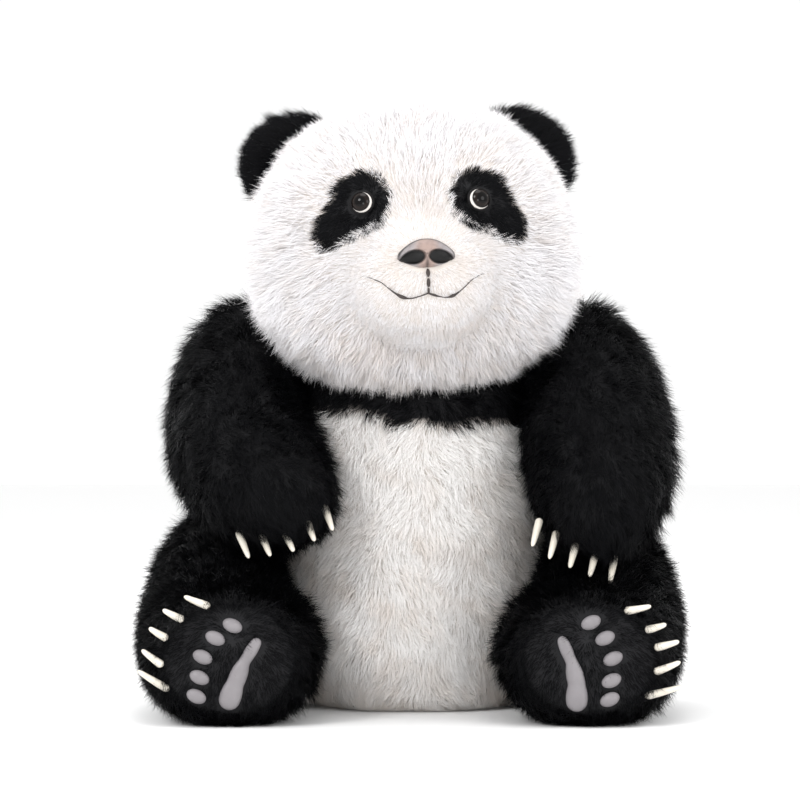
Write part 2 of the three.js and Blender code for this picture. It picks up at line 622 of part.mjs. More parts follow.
function buildLeg(name) {
  const { matrix } = hips[name];
  const outer = legSolid(name, 0);
  const cover = outer.subtract(legSolid(name, COVER_WALL)).subtract(placed(throughHole.add(discRoom), matrix));
  const filling = legSolid(name, COVER_WALL + SEAM_GAP).subtract(placed(limbPocket, matrix));
  part(`leg_cover_${name}`, cover, BLACK_FUR);
  part(`leg_stuffing_${name}`, filling, FILLING);
  part(`hip_post_${name}`, post, HARDBOARD, panda, matrix);
}

// ---- Claws and pads ----

/** A claw: a small tapered horn from a root inside the cover to its tip, cut off at the cover. */
function claw(root, direction, bend, cover) {
  const start = root.clone().addScaledVector(direction, -CLAW.sunk);
  const middle = root.clone().addScaledVector(direction, CLAW.length * 0.45);
  const end = root.clone().addScaledVector(direction, CLAW.length).addScaledVector(bend, CLAW.bend);
  const taper = [[CLAW.root, CLAW.root], [CLAW.root * 0.85, CLAW.root * 0.85], [CLAW.tip, CLAW.tip]];
  const across = new THREE.Vector3().crossVectors(direction, bend).normalize();
  const shape = { path: [start, middle, end], sizes: taper, squareness: [4, 4], side: across };
  return limb(shape, 0, 6, 5).subtract(cover);
}

/** Five claws fanned round the outer rim of a sole. */
function buildFootClaws(name) {
  const sign = SIGNS[name];
  const rise = radians(FOOT_CLAW_RISE[name]);
  const sole = hips[name].point.y - SOLE_FORWARD;
  const cover = legSolid(name, -SEAM_GAP);
  FOOT_CLAWS[name].forEach(([out, up], i) => {
    const root = new THREE.Vector3(footMiddle(name) + out, sole + CLAW.behindSole, up);
    const direction = new THREE.Vector3(sign * Math.cos(rise), -CLAW.forward, Math.sin(rise)).normalize();
    const bend = new THREE.Vector3(0, 1, 0);
    part(`toe_claw_${name}_${i + 1}`, claw(root, direction, bend, cover), CLAW_RESIN);
  });
}

function footMiddle(name) {
  return hips[name].point.x + SIGNS[name] * LEG_OUT[name].at(-1);
}

/** The pads of one sole: five toe pads and the long pad, moulded on one thin sheet. */
function buildPads(name) {
  const middle = footMiddle(name);
  const sole = hips[name].point.y - SOLE_FORWARD - SEAM_GAP;
  const plate = (outline, depth) => {
    const sheet = new THREE.ExtrudeGeometry(outline, { depth, bevelEnabled: false, curveSegments: 4 });
    return solid(sheet.rotateX(Math.PI / 2).translate(middle, sole, 0));
  };
  const backing = new THREE.Shape();
  const toes = TOE_PADS[name];
  const long = SOLE_PAD[name];
  const corners = [...toes, [long[3][0], long[3][1]], [long[0][0], long[0][1]]];
  corners.forEach(([out, up], i) => (i ? backing.lineTo(out, up) : backing.moveTo(out, up)));
  let pads = plate(backing, PAD_SHEET);
  for (const [out, up] of toes) {
    const toe = new THREE.Shape();
    toe.absellipse(out, up, TOE_PAD.long, TOE_PAD.short, 0, 2 * Math.PI, false, SIGNS[name] * TOE_PAD.tilt);
    pads = pads.add(plate(toe, PAD_THICKNESS));
  }
  for (const [out, up, radius] of long) {
    const round = new THREE.Shape();
    round.absarc(out, up, radius, 0, 2 * Math.PI);
    pads = pads.add(plate(round, PAD_THICKNESS));
  }
  part(`foot_pads_${name}`, pads, PAD_RUBBER);
}

/** Five claws along the lower front edge of a paw. */
function buildPawClaws(name) {
  const cover = armSolid(name, -SEAM_GAP);
  const { point } = shoulders[name];
  PAW_CLAWS[name].forEach(([out, forward, up], i) => {
    const root = new THREE.Vector3(point.x + SIGNS[name] * out, point.y - forward, point.z + up);
    const lean = PAW_CLAW_LEAN[name];
    const direction = new THREE.Vector3(SIGNS[name] * lean, -1, -0.7).normalize();
    const bend = new THREE.Vector3(0, 1, 0);
    part(`paw_claw_${name}_${i + 1}`, claw(root, direction, bend, cover), CLAW_RESIN);
  });
}

buildHead();
buildTorso();
for (const name of sides) {
  buildArm(name);
  buildLeg(name);
  buildPawClaws(name);
  buildFootClaws(name);
  buildPads(name);
}

export default panda;
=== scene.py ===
import math

import bpy
import numpy as np
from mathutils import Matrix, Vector


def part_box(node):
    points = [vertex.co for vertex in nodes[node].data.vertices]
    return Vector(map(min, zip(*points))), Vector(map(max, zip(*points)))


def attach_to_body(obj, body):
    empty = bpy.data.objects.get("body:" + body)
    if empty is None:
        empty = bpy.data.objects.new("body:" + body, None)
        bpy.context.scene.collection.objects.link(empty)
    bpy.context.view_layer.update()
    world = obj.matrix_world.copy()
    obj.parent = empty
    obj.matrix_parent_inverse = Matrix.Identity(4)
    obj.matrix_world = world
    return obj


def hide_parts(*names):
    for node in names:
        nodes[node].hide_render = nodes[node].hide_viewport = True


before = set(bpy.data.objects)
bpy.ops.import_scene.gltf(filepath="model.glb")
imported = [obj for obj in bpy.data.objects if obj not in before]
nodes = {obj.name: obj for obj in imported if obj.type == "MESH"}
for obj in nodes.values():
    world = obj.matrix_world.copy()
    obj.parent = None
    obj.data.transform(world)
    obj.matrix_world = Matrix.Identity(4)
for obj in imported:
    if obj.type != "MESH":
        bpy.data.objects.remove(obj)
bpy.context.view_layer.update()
scene = bpy.context.scene
MM = 0.001
random_numbers = np.random.default_rng(20260)

# Where the head sits: it is turned a little about the sloping neck, and its own frame starts at the neck.
NECK = np.array([0.0, 9.0, 237.0]) * MM
NECK_AXIS = np.array([0.0, -0.4226183, 0.9063078])
HEAD_TURN = math.radians(4.5)
HEAD_CENTRE = NECK_AXIS * 80 * MM
NOSE_POINT = HEAD_CENTRE + np.array([0.0, -0.115, -0.008])
EYE_OUT, EYE_UP = 38 * MM, 28 * MM
SHOULDER_HEIGHT, SHOULDER_FORWARD = 208 * MM, 10 * MM
ARM_PATHS = {  # out, forward and up from the shoulder
    "left": [[34, -22, 60], [38, 4, 8], [47, 54, -42], [41, 116, -90]],
    "right": [[30, -22, 64], [32, 4, 8], [31, 58, -42], [-10, 116, -72]],
}
SHOULDER_OUT = 77 * MM
FOOT_MIDDLE = {"left": 111 * MM, "right": -116 * MM}
SOLE_FRONT = -150 * MM
TOE_PADS = {  # out from the middle of the sole and up
    "left": [[2, 67], [11, 57], [16, 44], [15, 30], [14, 18]],
    "right": [[1, 65], [-10, 57], [-18, 45], [-20, 32], [-22, 20]],
}
SOLE_PAD = {  # out from the middle of the sole, up, and the radius
    "left": [[-16, 55, 4], [-10, 41, 5], [-7, 28, 7], [-7, 17, 8]],
    "right": [[16, 54, 4], [8, 41, 5], [3, 29, 7], [-1, 18, 8]],
}
SIGN = {"left": 1, "right": -1}

# Heights on the head are from its middle, in its own frame.
EYE_RADIUS = 7 * MM
NOSE_DROP, MUZZLE_DROP, MOUTH_DROP = 8 * MM, 18 * MM, 25 * MM
MOUTH_HALF = 41 * MM
PATCH_TOP, PATCH_END = np.array([37.5, 29.0]) * MM, np.array([58.0, 11.0]) * MM

# The black yoke ends at this height, and this much higher towards the right arm.
# The belly ends at the side seam.
YOKE_LINE, YOKE_RISE = 194.5 * MM, 8 * MM
SIDE_SEAM = 12 * MM
CLOTH_FRAMES, LARGEST_SHIFT = 20, 2.2 * MM


# ---------- small vector helpers ----------
def unit(v):
    """Each row scaled to length one."""
    return v / np.maximum(np.linalg.norm(v, axis=-1, keepdims=True), 1e-12)


def smooth(low, high, x):
    """0 below low, 1 above high, and a smooth S-curve between them."""
    t = np.clip((x - low) / (high - low), 0, 1)
    return t * t * (3 - 2 * t)


def turn_about(axis, angle):
    """The rotation matrix about a unit axis, by the cross-product formula."""
    x, y, z = axis
    cross = np.array([[0, -z, y], [z, 0, -x], [-y, x, 0]])
    return np.eye(3) + math.sin(angle) * cross + (1 - math.cos(angle)) * cross @ cross


HEAD_MATRIX = turn_about(NECK_AXIS, HEAD_TURN)


def to_head(p):
    """Points of the object's frame in the head's own frame."""
    return (p - NECK) @ HEAD_MATRIX


def from_head(v):
    """Directions of the head's own frame in the object's frame."""
    return v @ HEAD_MATRIX.T


def at_head(p):
    """Points of the head's own frame in the object's frame."""
    return p @ HEAD_MATRIX.T + NECK


def ripple(p, size, seed):
    """Smooth noise from -1 to 1: four crossed sine waves of about that size, with seeded slants."""
    r = np.random.default_rng(seed)
    total = np.zeros(len(p))
    for _ in range(4):
        slant = r.normal(size=3)
        along = p @ (slant / np.linalg.norm(slant))
        total += np.sin(along * (6.283 / size) * r.uniform(0.7, 1.5) + r.uniform(0, 6.28))
    return total / 2.6


def cell_random(p, size, seed):
    """Three numbers from -1 to 1 for each point, the same for a whole cell of a warped grid: a clump."""
    warped = p + 0.35 * size * np.stack([ripple(p, size * 2.3, seed + k) for k in range(3)], -1)
    cell = np.floor(warped / size).astype(np.int64)
    key = (cell[:, 0] * 73856093) ^ (cell[:, 1] * 19349663) ^ (cell[:, 2] * 83492791) ^ (seed * 2654435)
    out = []
    for k in range(3):
        h = (key * (2 * k + 3) + 12345 * k) & 0xFFFFFFFF
        h = ((h ^ (h >> 15)) * 2246822519) & 0xFFFFFFFF
        h = ((h ^ (h >> 13)) * 3266489917) & 0xFFFFFFFF
        out.append(((h ^ (h >> 16)) & 0xFFFF) / 32767.5 - 1)
    return np.stack(out, -1)


# ---------- meshes ----------
def add_values(mesh, **values):
    """Named numbers on a mesh's points, for its finish to read."""
    for title, numbers in values.items():
        layer = mesh.attributes.new(title, "FLOAT", "POINT")
        layer.data.foreach_set("value", np.asarray(numbers, np.float32))


def new_object(name, points, faces, smooth_shading=True):
    """An object at the origin from arrays of points and of faces with the same number of corners."""
    mesh = bpy.data.meshes.new(name)
    corners = faces.shape[1]
    mesh.vertices.add(len(points))
    mesh.vertices.foreach_set("co", points.astype(np.float32).ravel())
    mesh.loops.add(faces.size)
    mesh.loops.foreach_set("vertex_index", faces.astype(np.int32).ravel())
    mesh.polygons.add(len(faces))
    mesh.polygons.foreach_set("loop_start", np.arange(len(faces), dtype=np.int32) * corners)
    mesh.polygons.foreach_set("loop_total", np.full(len(faces), corners, np.int32))
    mesh.update(calc_edges=True)
    mesh.polygons.foreach_set("use_smooth", np.full(len(faces), smooth_shading))
    made = bpy.data.objects.new(name, mesh)
    scene.collection.objects.link(made)
    return made


def arrays(mesh):
    """A mesh's points and its triangles."""
    points = np.empty(len(mesh.vertices) * 3, np.float32)
    mesh.vertices.foreach_get("co", points)
    mesh.calc_loop_triangles()
    triangles = np.empty(len(mesh.loop_triangles) * 3, np.int32)
    mesh.loop_triangles.foreach_get("vertices", triangles)
    return points.reshape(-1, 3).astype(float), triangles.reshape(-1, 3)


def quads_of(mesh):
    """A mesh's points and its four-cornered faces."""
    points = np.empty(len(mesh.vertices) * 3, np.float32)
    mesh.vertices.foreach_get("co", points)
    corners = np.empty(len(mesh.loops), np.int32)
    mesh.loops.foreach_get("vertex_index", corners)
    return points.reshape(-1, 3).astype(float), corners.reshape(-1, 4)


def node_mesh(name):
    """A CAD node's points, in the object's frame, and its triangles."""
    points, triangles = arrays(nodes[name].data)
    matrix = np.array(nodes[name].matrix_world)
    return points @ matrix[:3, :3].T + matrix[:3, 3], triangles


def stacked(parts):
    """Several surfaces as one list of points and one of faces."""
    points, faces, offset = [], [], 0
    for p, f in parts:
        points.append(p)
        faces.append(f + offset)
        offset += len(p)
    return np.concatenate(points), np.concatenate(faces)


def evaluated(thing):
    """A new mesh with the object's modifiers in it."""
    return bpy.data.meshes.new_from_object(thing.evaluated_get(bpy.context.evaluated_depsgraph_get()))


def normals_of(points, triangles):
    """Point normals: the sum of the cross products of the triangles that meet there."""
    a, b, c = (points[triangles[:, k]] for k in range(3))
    face = np.cross(b - a, c - a)
    sums = [np.bincount(triangles.ravel(), np.repeat(face[:, k], 3), len(points)) for k in range(3)]
    return unit(np.stack(sums, -1))


def neighbour_mean(points, faces):
    """The mean of each point's neighbours along the sides of its faces."""
    start, end = faces.ravel(), np.roll(faces, -1, axis=1).ravel()
    one, other = np.concatenate([start, end]), np.concatenate([end, start])
    count = np.maximum(np.bincount(one, minlength=len(points)), 1)[:, None]
    return np.stack([np.bincount(one, points[other, k], len(points)) for k in range(3)], -1) / count


def largest_shell(points, faces):
    """The connected part with the most faces: labels spread to the lowest neighbour until none changes."""
    label = np.arange(len(points))
    while True:
        low = label[faces].min(axis=1)
        fresh = label.copy()
        for k in range(faces.shape[1]):
            np.minimum.at(fresh, faces[:, k], low)
        fresh = fresh[fresh]
        if (fresh == label).all():
            break
        label = fresh
    kept = faces[label[faces[:, 0]] == np.bincount(label[faces[:, 0]]).argmax()]
    used, renumbered = np.unique(kept, return_inverse=True)
    return points[used], renumbered.reshape(kept.shape)


def remeshed(points, faces, cell):
    """A surface rebuilt in small cells, as points and four-cornered faces."""
    rough = new_object("rough", points, faces)
    change = rough.modifiers.new("Remesh", "REMESH")
    change.mode, change.voxel_size = "VOXEL", cell
    surface = quads_of(evaluated(rough))
    bpy.data.objects.remove(rough)
    return surface


def wrapped(names, cell):
    """One even surface round several CAD nodes: remeshed together, with only the largest shell kept, then
    evened by a shrink and a grow step, again and again."""
    p, f = remeshed(*stacked([node_mesh(name) for name in names]), cell)
    p, f = largest_shell(p, f)
    for _ in range(6):
        p = p + 0.5 * (neighbour_mean(p, f) - p)
        p = p - 0.52 * (neighbour_mean(p, f) - p)
    return p, f


def extent(names):
    """Lowest and highest corner of several CAD nodes."""
    corners = [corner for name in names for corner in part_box(name)]
    return np.min(corners, axis=0), np.max(corners, axis=0)


def triangulated(quads):
    """Two triangles for each four-cornered face."""
    return np.concatenate([quads[:, [0, 1, 2]], quads[:, [0, 2, 3]]])


# ---------- materials ----------
class Value:
    """The output of a shader node. Its methods add the nodes that scale it or step it."""

    def __init__(self, tree, socket):
        self.tree, self.socket = tree, socket

    def __mul__(self, factor):
        node = self.tree.nodes.new("ShaderNodeMath")
        node.operation = "MULTIPLY"
        self.tree.links.new(self.socket, node.inputs[0])
        node.inputs[1].default_value = factor
        return Value(self.tree, node.outputs[0])

    def step(self, low, high):
        node = self.tree.nodes.new("ShaderNodeMapRange")
        node.interpolation_type = "SMOOTHSTEP"
        self.tree.links.new(self.socket, node.inputs["Value"])
        node.inputs["From Min"].default_value, node.inputs["From Max"].default_value = low, high
        return Value(self.tree, node.outputs["Result"])


class Finish:
    """A material with one Principled shader, and short ways to add what its inputs read."""

    def __init__(self, name, colour, roughness, **constants):
        self.material = bpy.data.materials.new(name)
        self.material.use_nodes = True
        self.tree = self.material.node_tree
        self.shader = self.tree.nodes["Principled BSDF"]
        self.shader.inputs["Base Color"].default_value = (*colour, 1)
        self.shader.inputs["Roughness"].default_value = roughness
        for key, value in constants.items():
            self.shader.inputs[key.replace("_", " ")].default_value = value

    def node(self, kind, output, inputs=None, **settings):
        made = self.tree.nodes.new(kind)
        for key, value in settings.items():
            setattr(made, key, value)
        for key, value in (inputs or {}).items():
            if isinstance(value, Value):
                self.tree.links.new(value.socket, made.inputs[key])
            else:
                made.inputs[key].default_value = value
        return Value(self.tree, made.outputs[output])

    def attribute(self, name):
        return self.node("ShaderNodeAttribute", "Fac", attribute_name=name)

    def place(self):
        return self.node("ShaderNodeTexCoord", "Object")

    def noise(self, scale, detail=3.0):
        inputs = {"Vector": self.place(), "Scale": scale, "Detail": detail}
        return self.node("ShaderNodeTexNoise", "Fac", inputs)

    def mixed(self, amount, first, second):
        made = self.tree.nodes.new("ShaderNodeMix")
        made.data_type = "RGBA"
        for socket, value in ((made.inputs[0], amount), (made.inputs[6], first), (made.inputs[7], second)):
            if isinstance(value, Value):
                self.tree.links.new(value.socket, socket)
            elif isinstance(value, tuple):
                socket.default_value = (*value, 1)
            else:
                socket.default_value = value
        return Value(self.tree, made.outputs[2])

    def set(self, **values):
        for key, value in values.items():
            self.tree.links.new(value.socket, self.shader.inputs[key.replace("_", " ")])
        return self

    def bump(self, height, strength, distance):
        inputs = {"Height": height, "Strength": strength, "Distance": distance}
        return self.set(Normal=self.node("ShaderNodeBump", "Normal", inputs))


def fur_finish(name, root, tip, tint, roughness, gloss):
    """Strands darker at the root than at the tip, the root's colour a painted shade deep in the pile; each
    darkened its own share, and tinted where the pile is.
    """
    made = Finish(name, tip, roughness, Specular_IOR_Level=gloss)
    # Painted shade: the colour darkens from tip to root, standing in for the shade of the pile on its own roots.
    along = made.mixed(made.attribute("along").step(0.0, 0.85), root, tip)
    tinted = made.mixed(made.attribute("tint"), along, tint)
    dim = tuple(c * 0.72 for c in tip)
    return made.set(Base_Color=made.mixed(made.attribute("strand") * 0.5, tinted, dim)).material


def cloth_finish(name, colour, other):
    """Matt woven cloth with a faint sheen."""
    made = Finish(name, colour, 0.9, Sheen_Weight=0.2)
    weave = made.noise(900.0, 2.0)
    made.set(Base_Color=made.mixed(made.noise(60.0), colour, other))
    return made.bump(weave, 0.3, 0.0004).material


# Each pile's first colour is its root's, darker as painted shade deep in the pile; then come the tip's colour
# and the tint's.
WHITE = fur_finish(
    "long white pile", (0.75, 0.715, 0.71), (0.865, 0.853, 0.872), (0.78, 0.68, 0.60), 0.75, 0.2)
# The belly's tint colour serves as cream tint and as painted shade low down and under the arms.
BELLY_WHITE = fur_finish(
    "cream belly pile", (0.90, 0.865, 0.84), (0.97, 0.955, 0.94), (0.80, 0.70, 0.62), 0.75, 0.2)
SHORT_WHITE = fur_finish(
    "short white pile", (0.80, 0.76, 0.75), (0.885, 0.87, 0.88), (0.78, 0.68, 0.60), 0.75, 0.2)
BLACK = fur_finish(
    "long black pile", (0.001, 0.001, 0.0013), (0.0036, 0.0038, 0.0048), (0.012, 0.012, 0.015), 0.5, 0.07)

backing = Finish("knitted fur backing", (0.6, 0.56, 0.52), 0.9)
undyed = backing.mixed(backing.noise(60.0), (0.66, 0.61, 0.57), (0.55, 0.50, 0.46))
dyed = backing.mixed(backing.noise(80.0), (0.004, 0.004, 0.005), (0.009, 0.009, 0.011))
backing.set(Base_Color=backing.mixed(backing.attribute("dark"), undyed, dyed))
BACKING = backing.bump(backing.noise(900.0), 0.3, 0.0004).material
BAG = cloth_finish("cotton bag cloth", (0.6, 0.56, 0.5), (0.5, 0.45, 0.38))

board = Finish("satin joint board", (0.8, 0.78, 0.72), 0.5)
board.set(Base_Color=board.mixed(board.noise(120.0), (0.8, 0.78, 0.72), (0.7, 0.66, 0.58)))
BOARD = board.bump(board.noise(700.0), 0.15, 0.0004).material

claw = Finish("ivory cast resin", (0.8, 0.76, 0.68), 0.32, Coat_Weight=0.25, Coat_Roughness=0.2)
claw.set(Base_Color=claw.mixed(claw.noise(160.0, 4.0), (0.80, 0.765, 0.69), (0.62, 0.56, 0.46)))
CLAW = claw.bump(claw.noise(500.0), 0.08, 0.0004).material

pad = Finish("warm grey pad rubber", (0.25, 0.235, 0.245), 0.42, Specular_IOR_Level=0.35)
pad.set(Base_Color=pad.mixed(pad.noise(90.0, 4.0), (0.255, 0.24, 0.25), (0.165, 0.154, 0.162)))
PAD = pad.bump(pad.noise(1500.0), 0.2, 0.0004).material

thread = Finish("waxed black thread", (0.02, 0.016, 0.016), 0.6)
thread.set(Base_Color=thread.mixed(thread.noise(900.0), (0.01, 0.008, 0.008), (0.05, 0.035, 0.03)))
THREAD = thread.material


# ---------- stuffed skins ----------
SKINS = {  # name: (body, CAD nodes that it covers, hidden nodes only filled over, cell size)
    "head_skin": ("head",
                  ["head_cover", "muzzle_cover", "eye_patch_left", "eye_patch_right", "head_stuffing"],
                  ["eye_washer_left", "eye_washer_right", "neck_post"], 4.5),
    "ear_skin_left": ("head", ["ear_left"], [], 3.5),
    "ear_skin_right": ("head", ["ear_right"], [], 3.5),
    "torso_skin": ("torso", ["belly_cover", "back_cover", "shoulder_yoke", "seat_panel", "torso_stuffing"],
                   ["pellet_bag", "neck_washer", "shoulder_left_washer", "shoulder_right_washer",
                    "hip_left_washer", "hip_right_washer"], 5.5),
    "pellet_bag_skin": ("torso", ["pellet_bag"], [], 5.5),
    "tail_skin": ("torso", ["tail"], [], 4.0),
}
for side in SIGN:
    for limb, joint in (("arm", "shoulder"), ("leg", "hip")):
        covers = [f"{limb}_cover_{side}", f"{limb}_stuffing_{side}"]
        SKINS[f"{limb}_skin_{side}"] = (f"{limb}_{side}", covers, [f"{joint}_post_{side}"], 4.5)


def cushioned():
    """Every skin starts a little small and is blown up as cloth, with its movement capped. It is then evened,
    given slow bumps, divided once and fitted to the extent of the CAD nodes that it covers."""
    started, reach = {}, {}
    for name, (_, covers, inner, cell) in SKINS.items():
        p, f = wrapped(covers + inner, cell * MM)
        reach[name] = extent(covers + inner)
        p = p - 1.2 * MM * normals_of(p, triangulated(f))
        skin = new_object(name, p, f)
        cloth = skin.modifiers.new("Cloth", "CLOTH")
        cloth.settings.quality, cloth.settings.mass = 4, 0.3
        cloth.settings.tension_stiffness = cloth.settings.compression_stiffness = 12
        cloth.settings.use_pressure, cloth.settings.uniform_pressure_force = True, 4.0
        cloth.settings.effector_weights.gravity = 0
        cloth.point_cache.frame_start, cloth.point_cache.frame_end = 1, CLOTH_FRAMES
        started[name] = (skin, p, f)
    for step in range(1, CLOTH_FRAMES + 1):
        scene.frame_set(step)
    surfaces = {}
    for name, (skin, p, f) in started.items():
        blown, _ = quads_of(evaluated(skin))
        shift = blown - p
        far = np.linalg.norm(shift, axis=1, keepdims=True)
        p = p + shift * np.minimum(1, LARGEST_SHIFT / np.maximum(far, 1e-9))
        p = p + 0.4 * (neighbour_mean(p, f) - p)
        n = normals_of(p, triangulated(f))
        p = p + n * (0.5 * MM * ripple(p, 0.05, 7))[:, None]
        p[:, 2] = np.maximum(p[:, 2], 0.6 * MM)
        bpy.data.objects.remove(skin)
        coarse = new_object(name + "_coarse", p, f)
        coarse.modifiers.new("Subdivision", "SUBSURF").levels = 1
        p, f = quads_of(evaluated(coarse))
        bpy.data.objects.remove(coarse)
        (low, high), (lowest, highest) = reach[name], (p.min(0), p.max(0))
        p = low + 0.2 * MM + (p - lowest) / (highest - lowest) * (high - low - 0.4 * MM)
        final = new_object(name, p, f)
        body, covers = SKINS[name][:2]
        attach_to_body(final, body)
        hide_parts(*covers)
        triangles = triangulated(f)
        surfaces[name] = (final, p, triangles, normals_of(p, triangles))
    scene.frame_set(1)
    return surfaces


# ---------- where each pile grows ----------
def patch_edge(q):
    """How far outside a drop-shaped eye patch each point of the head's frame is: the distance to a bar that
    tapers from the eye to the cheek."""
    x, z = np.abs(q[:, 0]) - PATCH_TOP[0], q[:, 2] - HEAD_CENTRE[2] - PATCH_TOP[1]
    bar = PATCH_END - PATCH_TOP
    t = np.clip((x * bar[0] + z * bar[1]) / (bar @ bar), 0, 1)
    wave = 1.2 * MM * ripple(q, 0.012, 5)
    edge = np.hypot(x - t * bar[0], z - t * bar[1]) - (18 - 8.5 * t) * MM + wave
    return np.where(q[:, 1] < HEAD_CENTRE[1], edge, 1.0)


def eye_distance(q):
    """Distance from the nearer eye's middle, seen from the front."""
    x, z = np.abs(q[:, 0]) - EYE_OUT, q[:, 2] - HEAD_CENTRE[2] - EYE_UP
    return np.where(q[:, 1] < HEAD_CENTRE[1], np.hypot(x, z), 1.0)


def nose_distance(q):
    """Distance from the middle of the nose, seen from the front, with the nose's flat oval as one."""
    x, z = q[:, 0] / (19 * MM), (q[:, 2] - HEAD_CENTRE[2] + 8.5 * MM) / (11 * MM)
    return np.where(q[:, 1] < HEAD_CENTRE[1] - 0.09, np.hypot(x, z), 9.0)


def mouth_distance(q):
    """Height above the line of the mouth and width from the line below the nose, whichever is less."""
    x, z = q[:, 0], q[:, 2] - HEAD_CENTRE[2] + MOUTH_DROP
    line = mouth_height(np.abs(x))
    along = np.where(np.abs(x) < MOUTH_HALF, np.abs(z - line), 1.0)
    middle = np.where((z > -8 * MM) & (z < 9 * MM), np.abs(x), 1.0)
    return np.where(q[:, 1] < HEAD_CENTRE[1] - 0.07, np.minimum(along, middle), 1.0)


def mouth_height(x):
    """The mouth's height over the muzzle's middle: it dips beside the middle and rises to the corners."""
    s = x / (40 * MM)
    return MM * (-8 - 3.2 * np.sin(np.clip(s / 0.72, 0, 1) * math.pi) + 13 * smooth(0.25, 1.08, s))


def yoke_share(p):
    """1 on the black band over the shoulders and 0 on the white body, with a wavy line between them."""
    line = YOKE_LINE + YOKE_RISE * smooth(0.0, -0.036, p[:, 0])
    return smooth(-0.001, 0.001, p[:, 2] - line + 0.002 * ripple(p, 0.03, 11))


def head_comb(p, n):
    """Away from the nose, and downwards behind the ears."""
    q = to_head(p)
    away = unit(q - NOSE_POINT)
    down = smooth(-0.02, 0.06, q[:, 1] - HEAD_CENTRE[1])[:, None] * np.array([0, 0.2, -1.3])
    droop = np.array([0, 0, -0.28]) * smooth(0.02, 0.07, np.abs(q[:, 0]))[:, None]
    return from_head(away + down + droop)


def patch_comb(p, n):
    """Away from the eye and down towards the cheek."""
    q = to_head(p)
    sign = np.sign(q[:, 0])
    away = np.stack([q[:, 0] - sign * EYE_OUT, 0 * q[:, 0], q[:, 2] - HEAD_CENTRE[2] - EYE_UP], -1)
    return from_head(unit(away) + 0.7 * np.stack([sign * 0.7, 0 * sign + 0.2, -0.8 + 0 * sign], -1))


def ear_comb(p, n):
    """Outwards from the ear's root, and a little back."""
    q = to_head(p)
    root = HEAD_CENTRE + np.array([0.0, 0.02, 0.03])
    return from_head(unit(q - root) + np.array([0, 0.15, 0]))


def body_comb(p, n):
    """Down and a little outwards, with slow whirls."""
    whirl = np.stack([ripple(p, 0.045, 31), 0.3 * ripple(p, 0.04, 32), 0.5 * ripple(p, 0.05, 33)], -1)
    return np.array([0, 0, -1.0]) + p * np.array([3.0, 0, 0]) + 0.55 * whirl


def arm_comb(side):
    """Along the nearest stretch of the arm's bent middle line, towards the paw, and a little down."""
    sign = SIGN[side]
    line = np.array([[sign * o, -f, u] for o, f, u in ARM_PATHS[side]]) * MM
    line = line + np.array([sign * SHOULDER_OUT, SHOULDER_FORWARD, SHOULDER_HEIGHT])

    def comb(p, n):
        best, towards = np.full(len(p), 9.0), np.zeros_like(p)
        for start, end in zip(line[:-1], line[1:]):
            way = end - start
            t = np.clip((p - start) @ way / (way @ way), 0, 1)
            far = np.linalg.norm(p - start - t[:, None] * way, axis=1)
            towards = np.where((far < best)[:, None], way / np.linalg.norm(way), towards)
            best = np.minimum(best, far)
        return towards + np.array([sign * 0.15, 0, -0.35])

    return comb


def leg_comb(side):
    """Forwards along the leg and down, and outwards from the middle of the sole."""
    middle = np.array([FOOT_MIDDLE[side], SOLE_FRONT, 0.055])

    def comb(p, n):
        out = unit((p - middle) * np.array([1, 0, 1])) * smooth(0.5, 0.9, -n[:, 1])[:, None]
        return np.array([0, -0.8, -0.45]) + out * 1.3 + np.array([0, 0, -0.25])

    return comb


def claw_bars(kind, side):
    """The two ends of each of five CAD claws' middle lines, the thick end first: the extremes of its points
    along their longest way."""
    bars = []
    for number in range(1, 6):
        p, _ = node_mesh(f"{kind}_claw_{side}_{number}")
        middle = p.mean(0)
        way = np.linalg.svd(p - middle, full_matrices=False)[2][0]
        share = (p - middle) @ way
        off_line = np.linalg.norm(p - middle - share[:, None] * way, axis=1)
        ends = middle + way * share.min(), middle + way * share.max()
        bars.append(ends if off_line[share < 0].mean() > off_line[share > 0].mean() else ends[::-1])
    return bars


def clear_of_claws(kind, side, room):
    """0 within that room of a claw's outer part, 1 outside it."""
    bars = claw_bars(kind, side)

    def keep(p, n):
        best = np.full(len(p), 1.0)
        for start, end in bars:
            way = end - start
            t = np.clip((p - start) @ way / (way @ way), 0.4, 1)
            best = np.minimum(best, np.linalg.norm(p - start - t[:, None] * way, axis=1))
        return smooth(room - 0.5 * MM, room + 1.5 * MM, best)

    return keep


def pads_near(side):
    """Distance from the nearest pad of a sole, seen from the front, in the CAD's own places for them."""
    tilt = 0.35 * SIGN[side]
    c, s = math.cos(tilt), math.sin(tilt)
    sole = SOLE_PAD[side]

    def far(p):
        best = np.full(len(p), 1.0)
        x, z = (p[:, 0] - FOOT_MIDDLE[side]) / MM, p[:, 2] / MM
        for out, up in TOE_PADS[side]:
            a, b = (x - out) * c + (z - up) * s, (z - up) * c - (x - out) * s
            best = np.minimum(best, (np.hypot(a / 7.5, b / 5.2) - 1) * 5.5 * MM)
        for (x0, z0, r0), (x1, z1, r1) in zip(sole[:-1], sole[1:]):
            across, up = x1 - x0, z1 - z0
            t = np.clip(((x - x0) * across + (z - z0) * up) / (across ** 2 + up ** 2), 0, 1)
            edge = np.hypot(x - x0 - t * across, z - z0 - t * up) - r0 - t * (r1 - r0)
            best = np.minimum(best, edge * MM)
        return np.where(p[:, 1] < SOLE_FRONT + 0.03, best, 1.0)

    return far


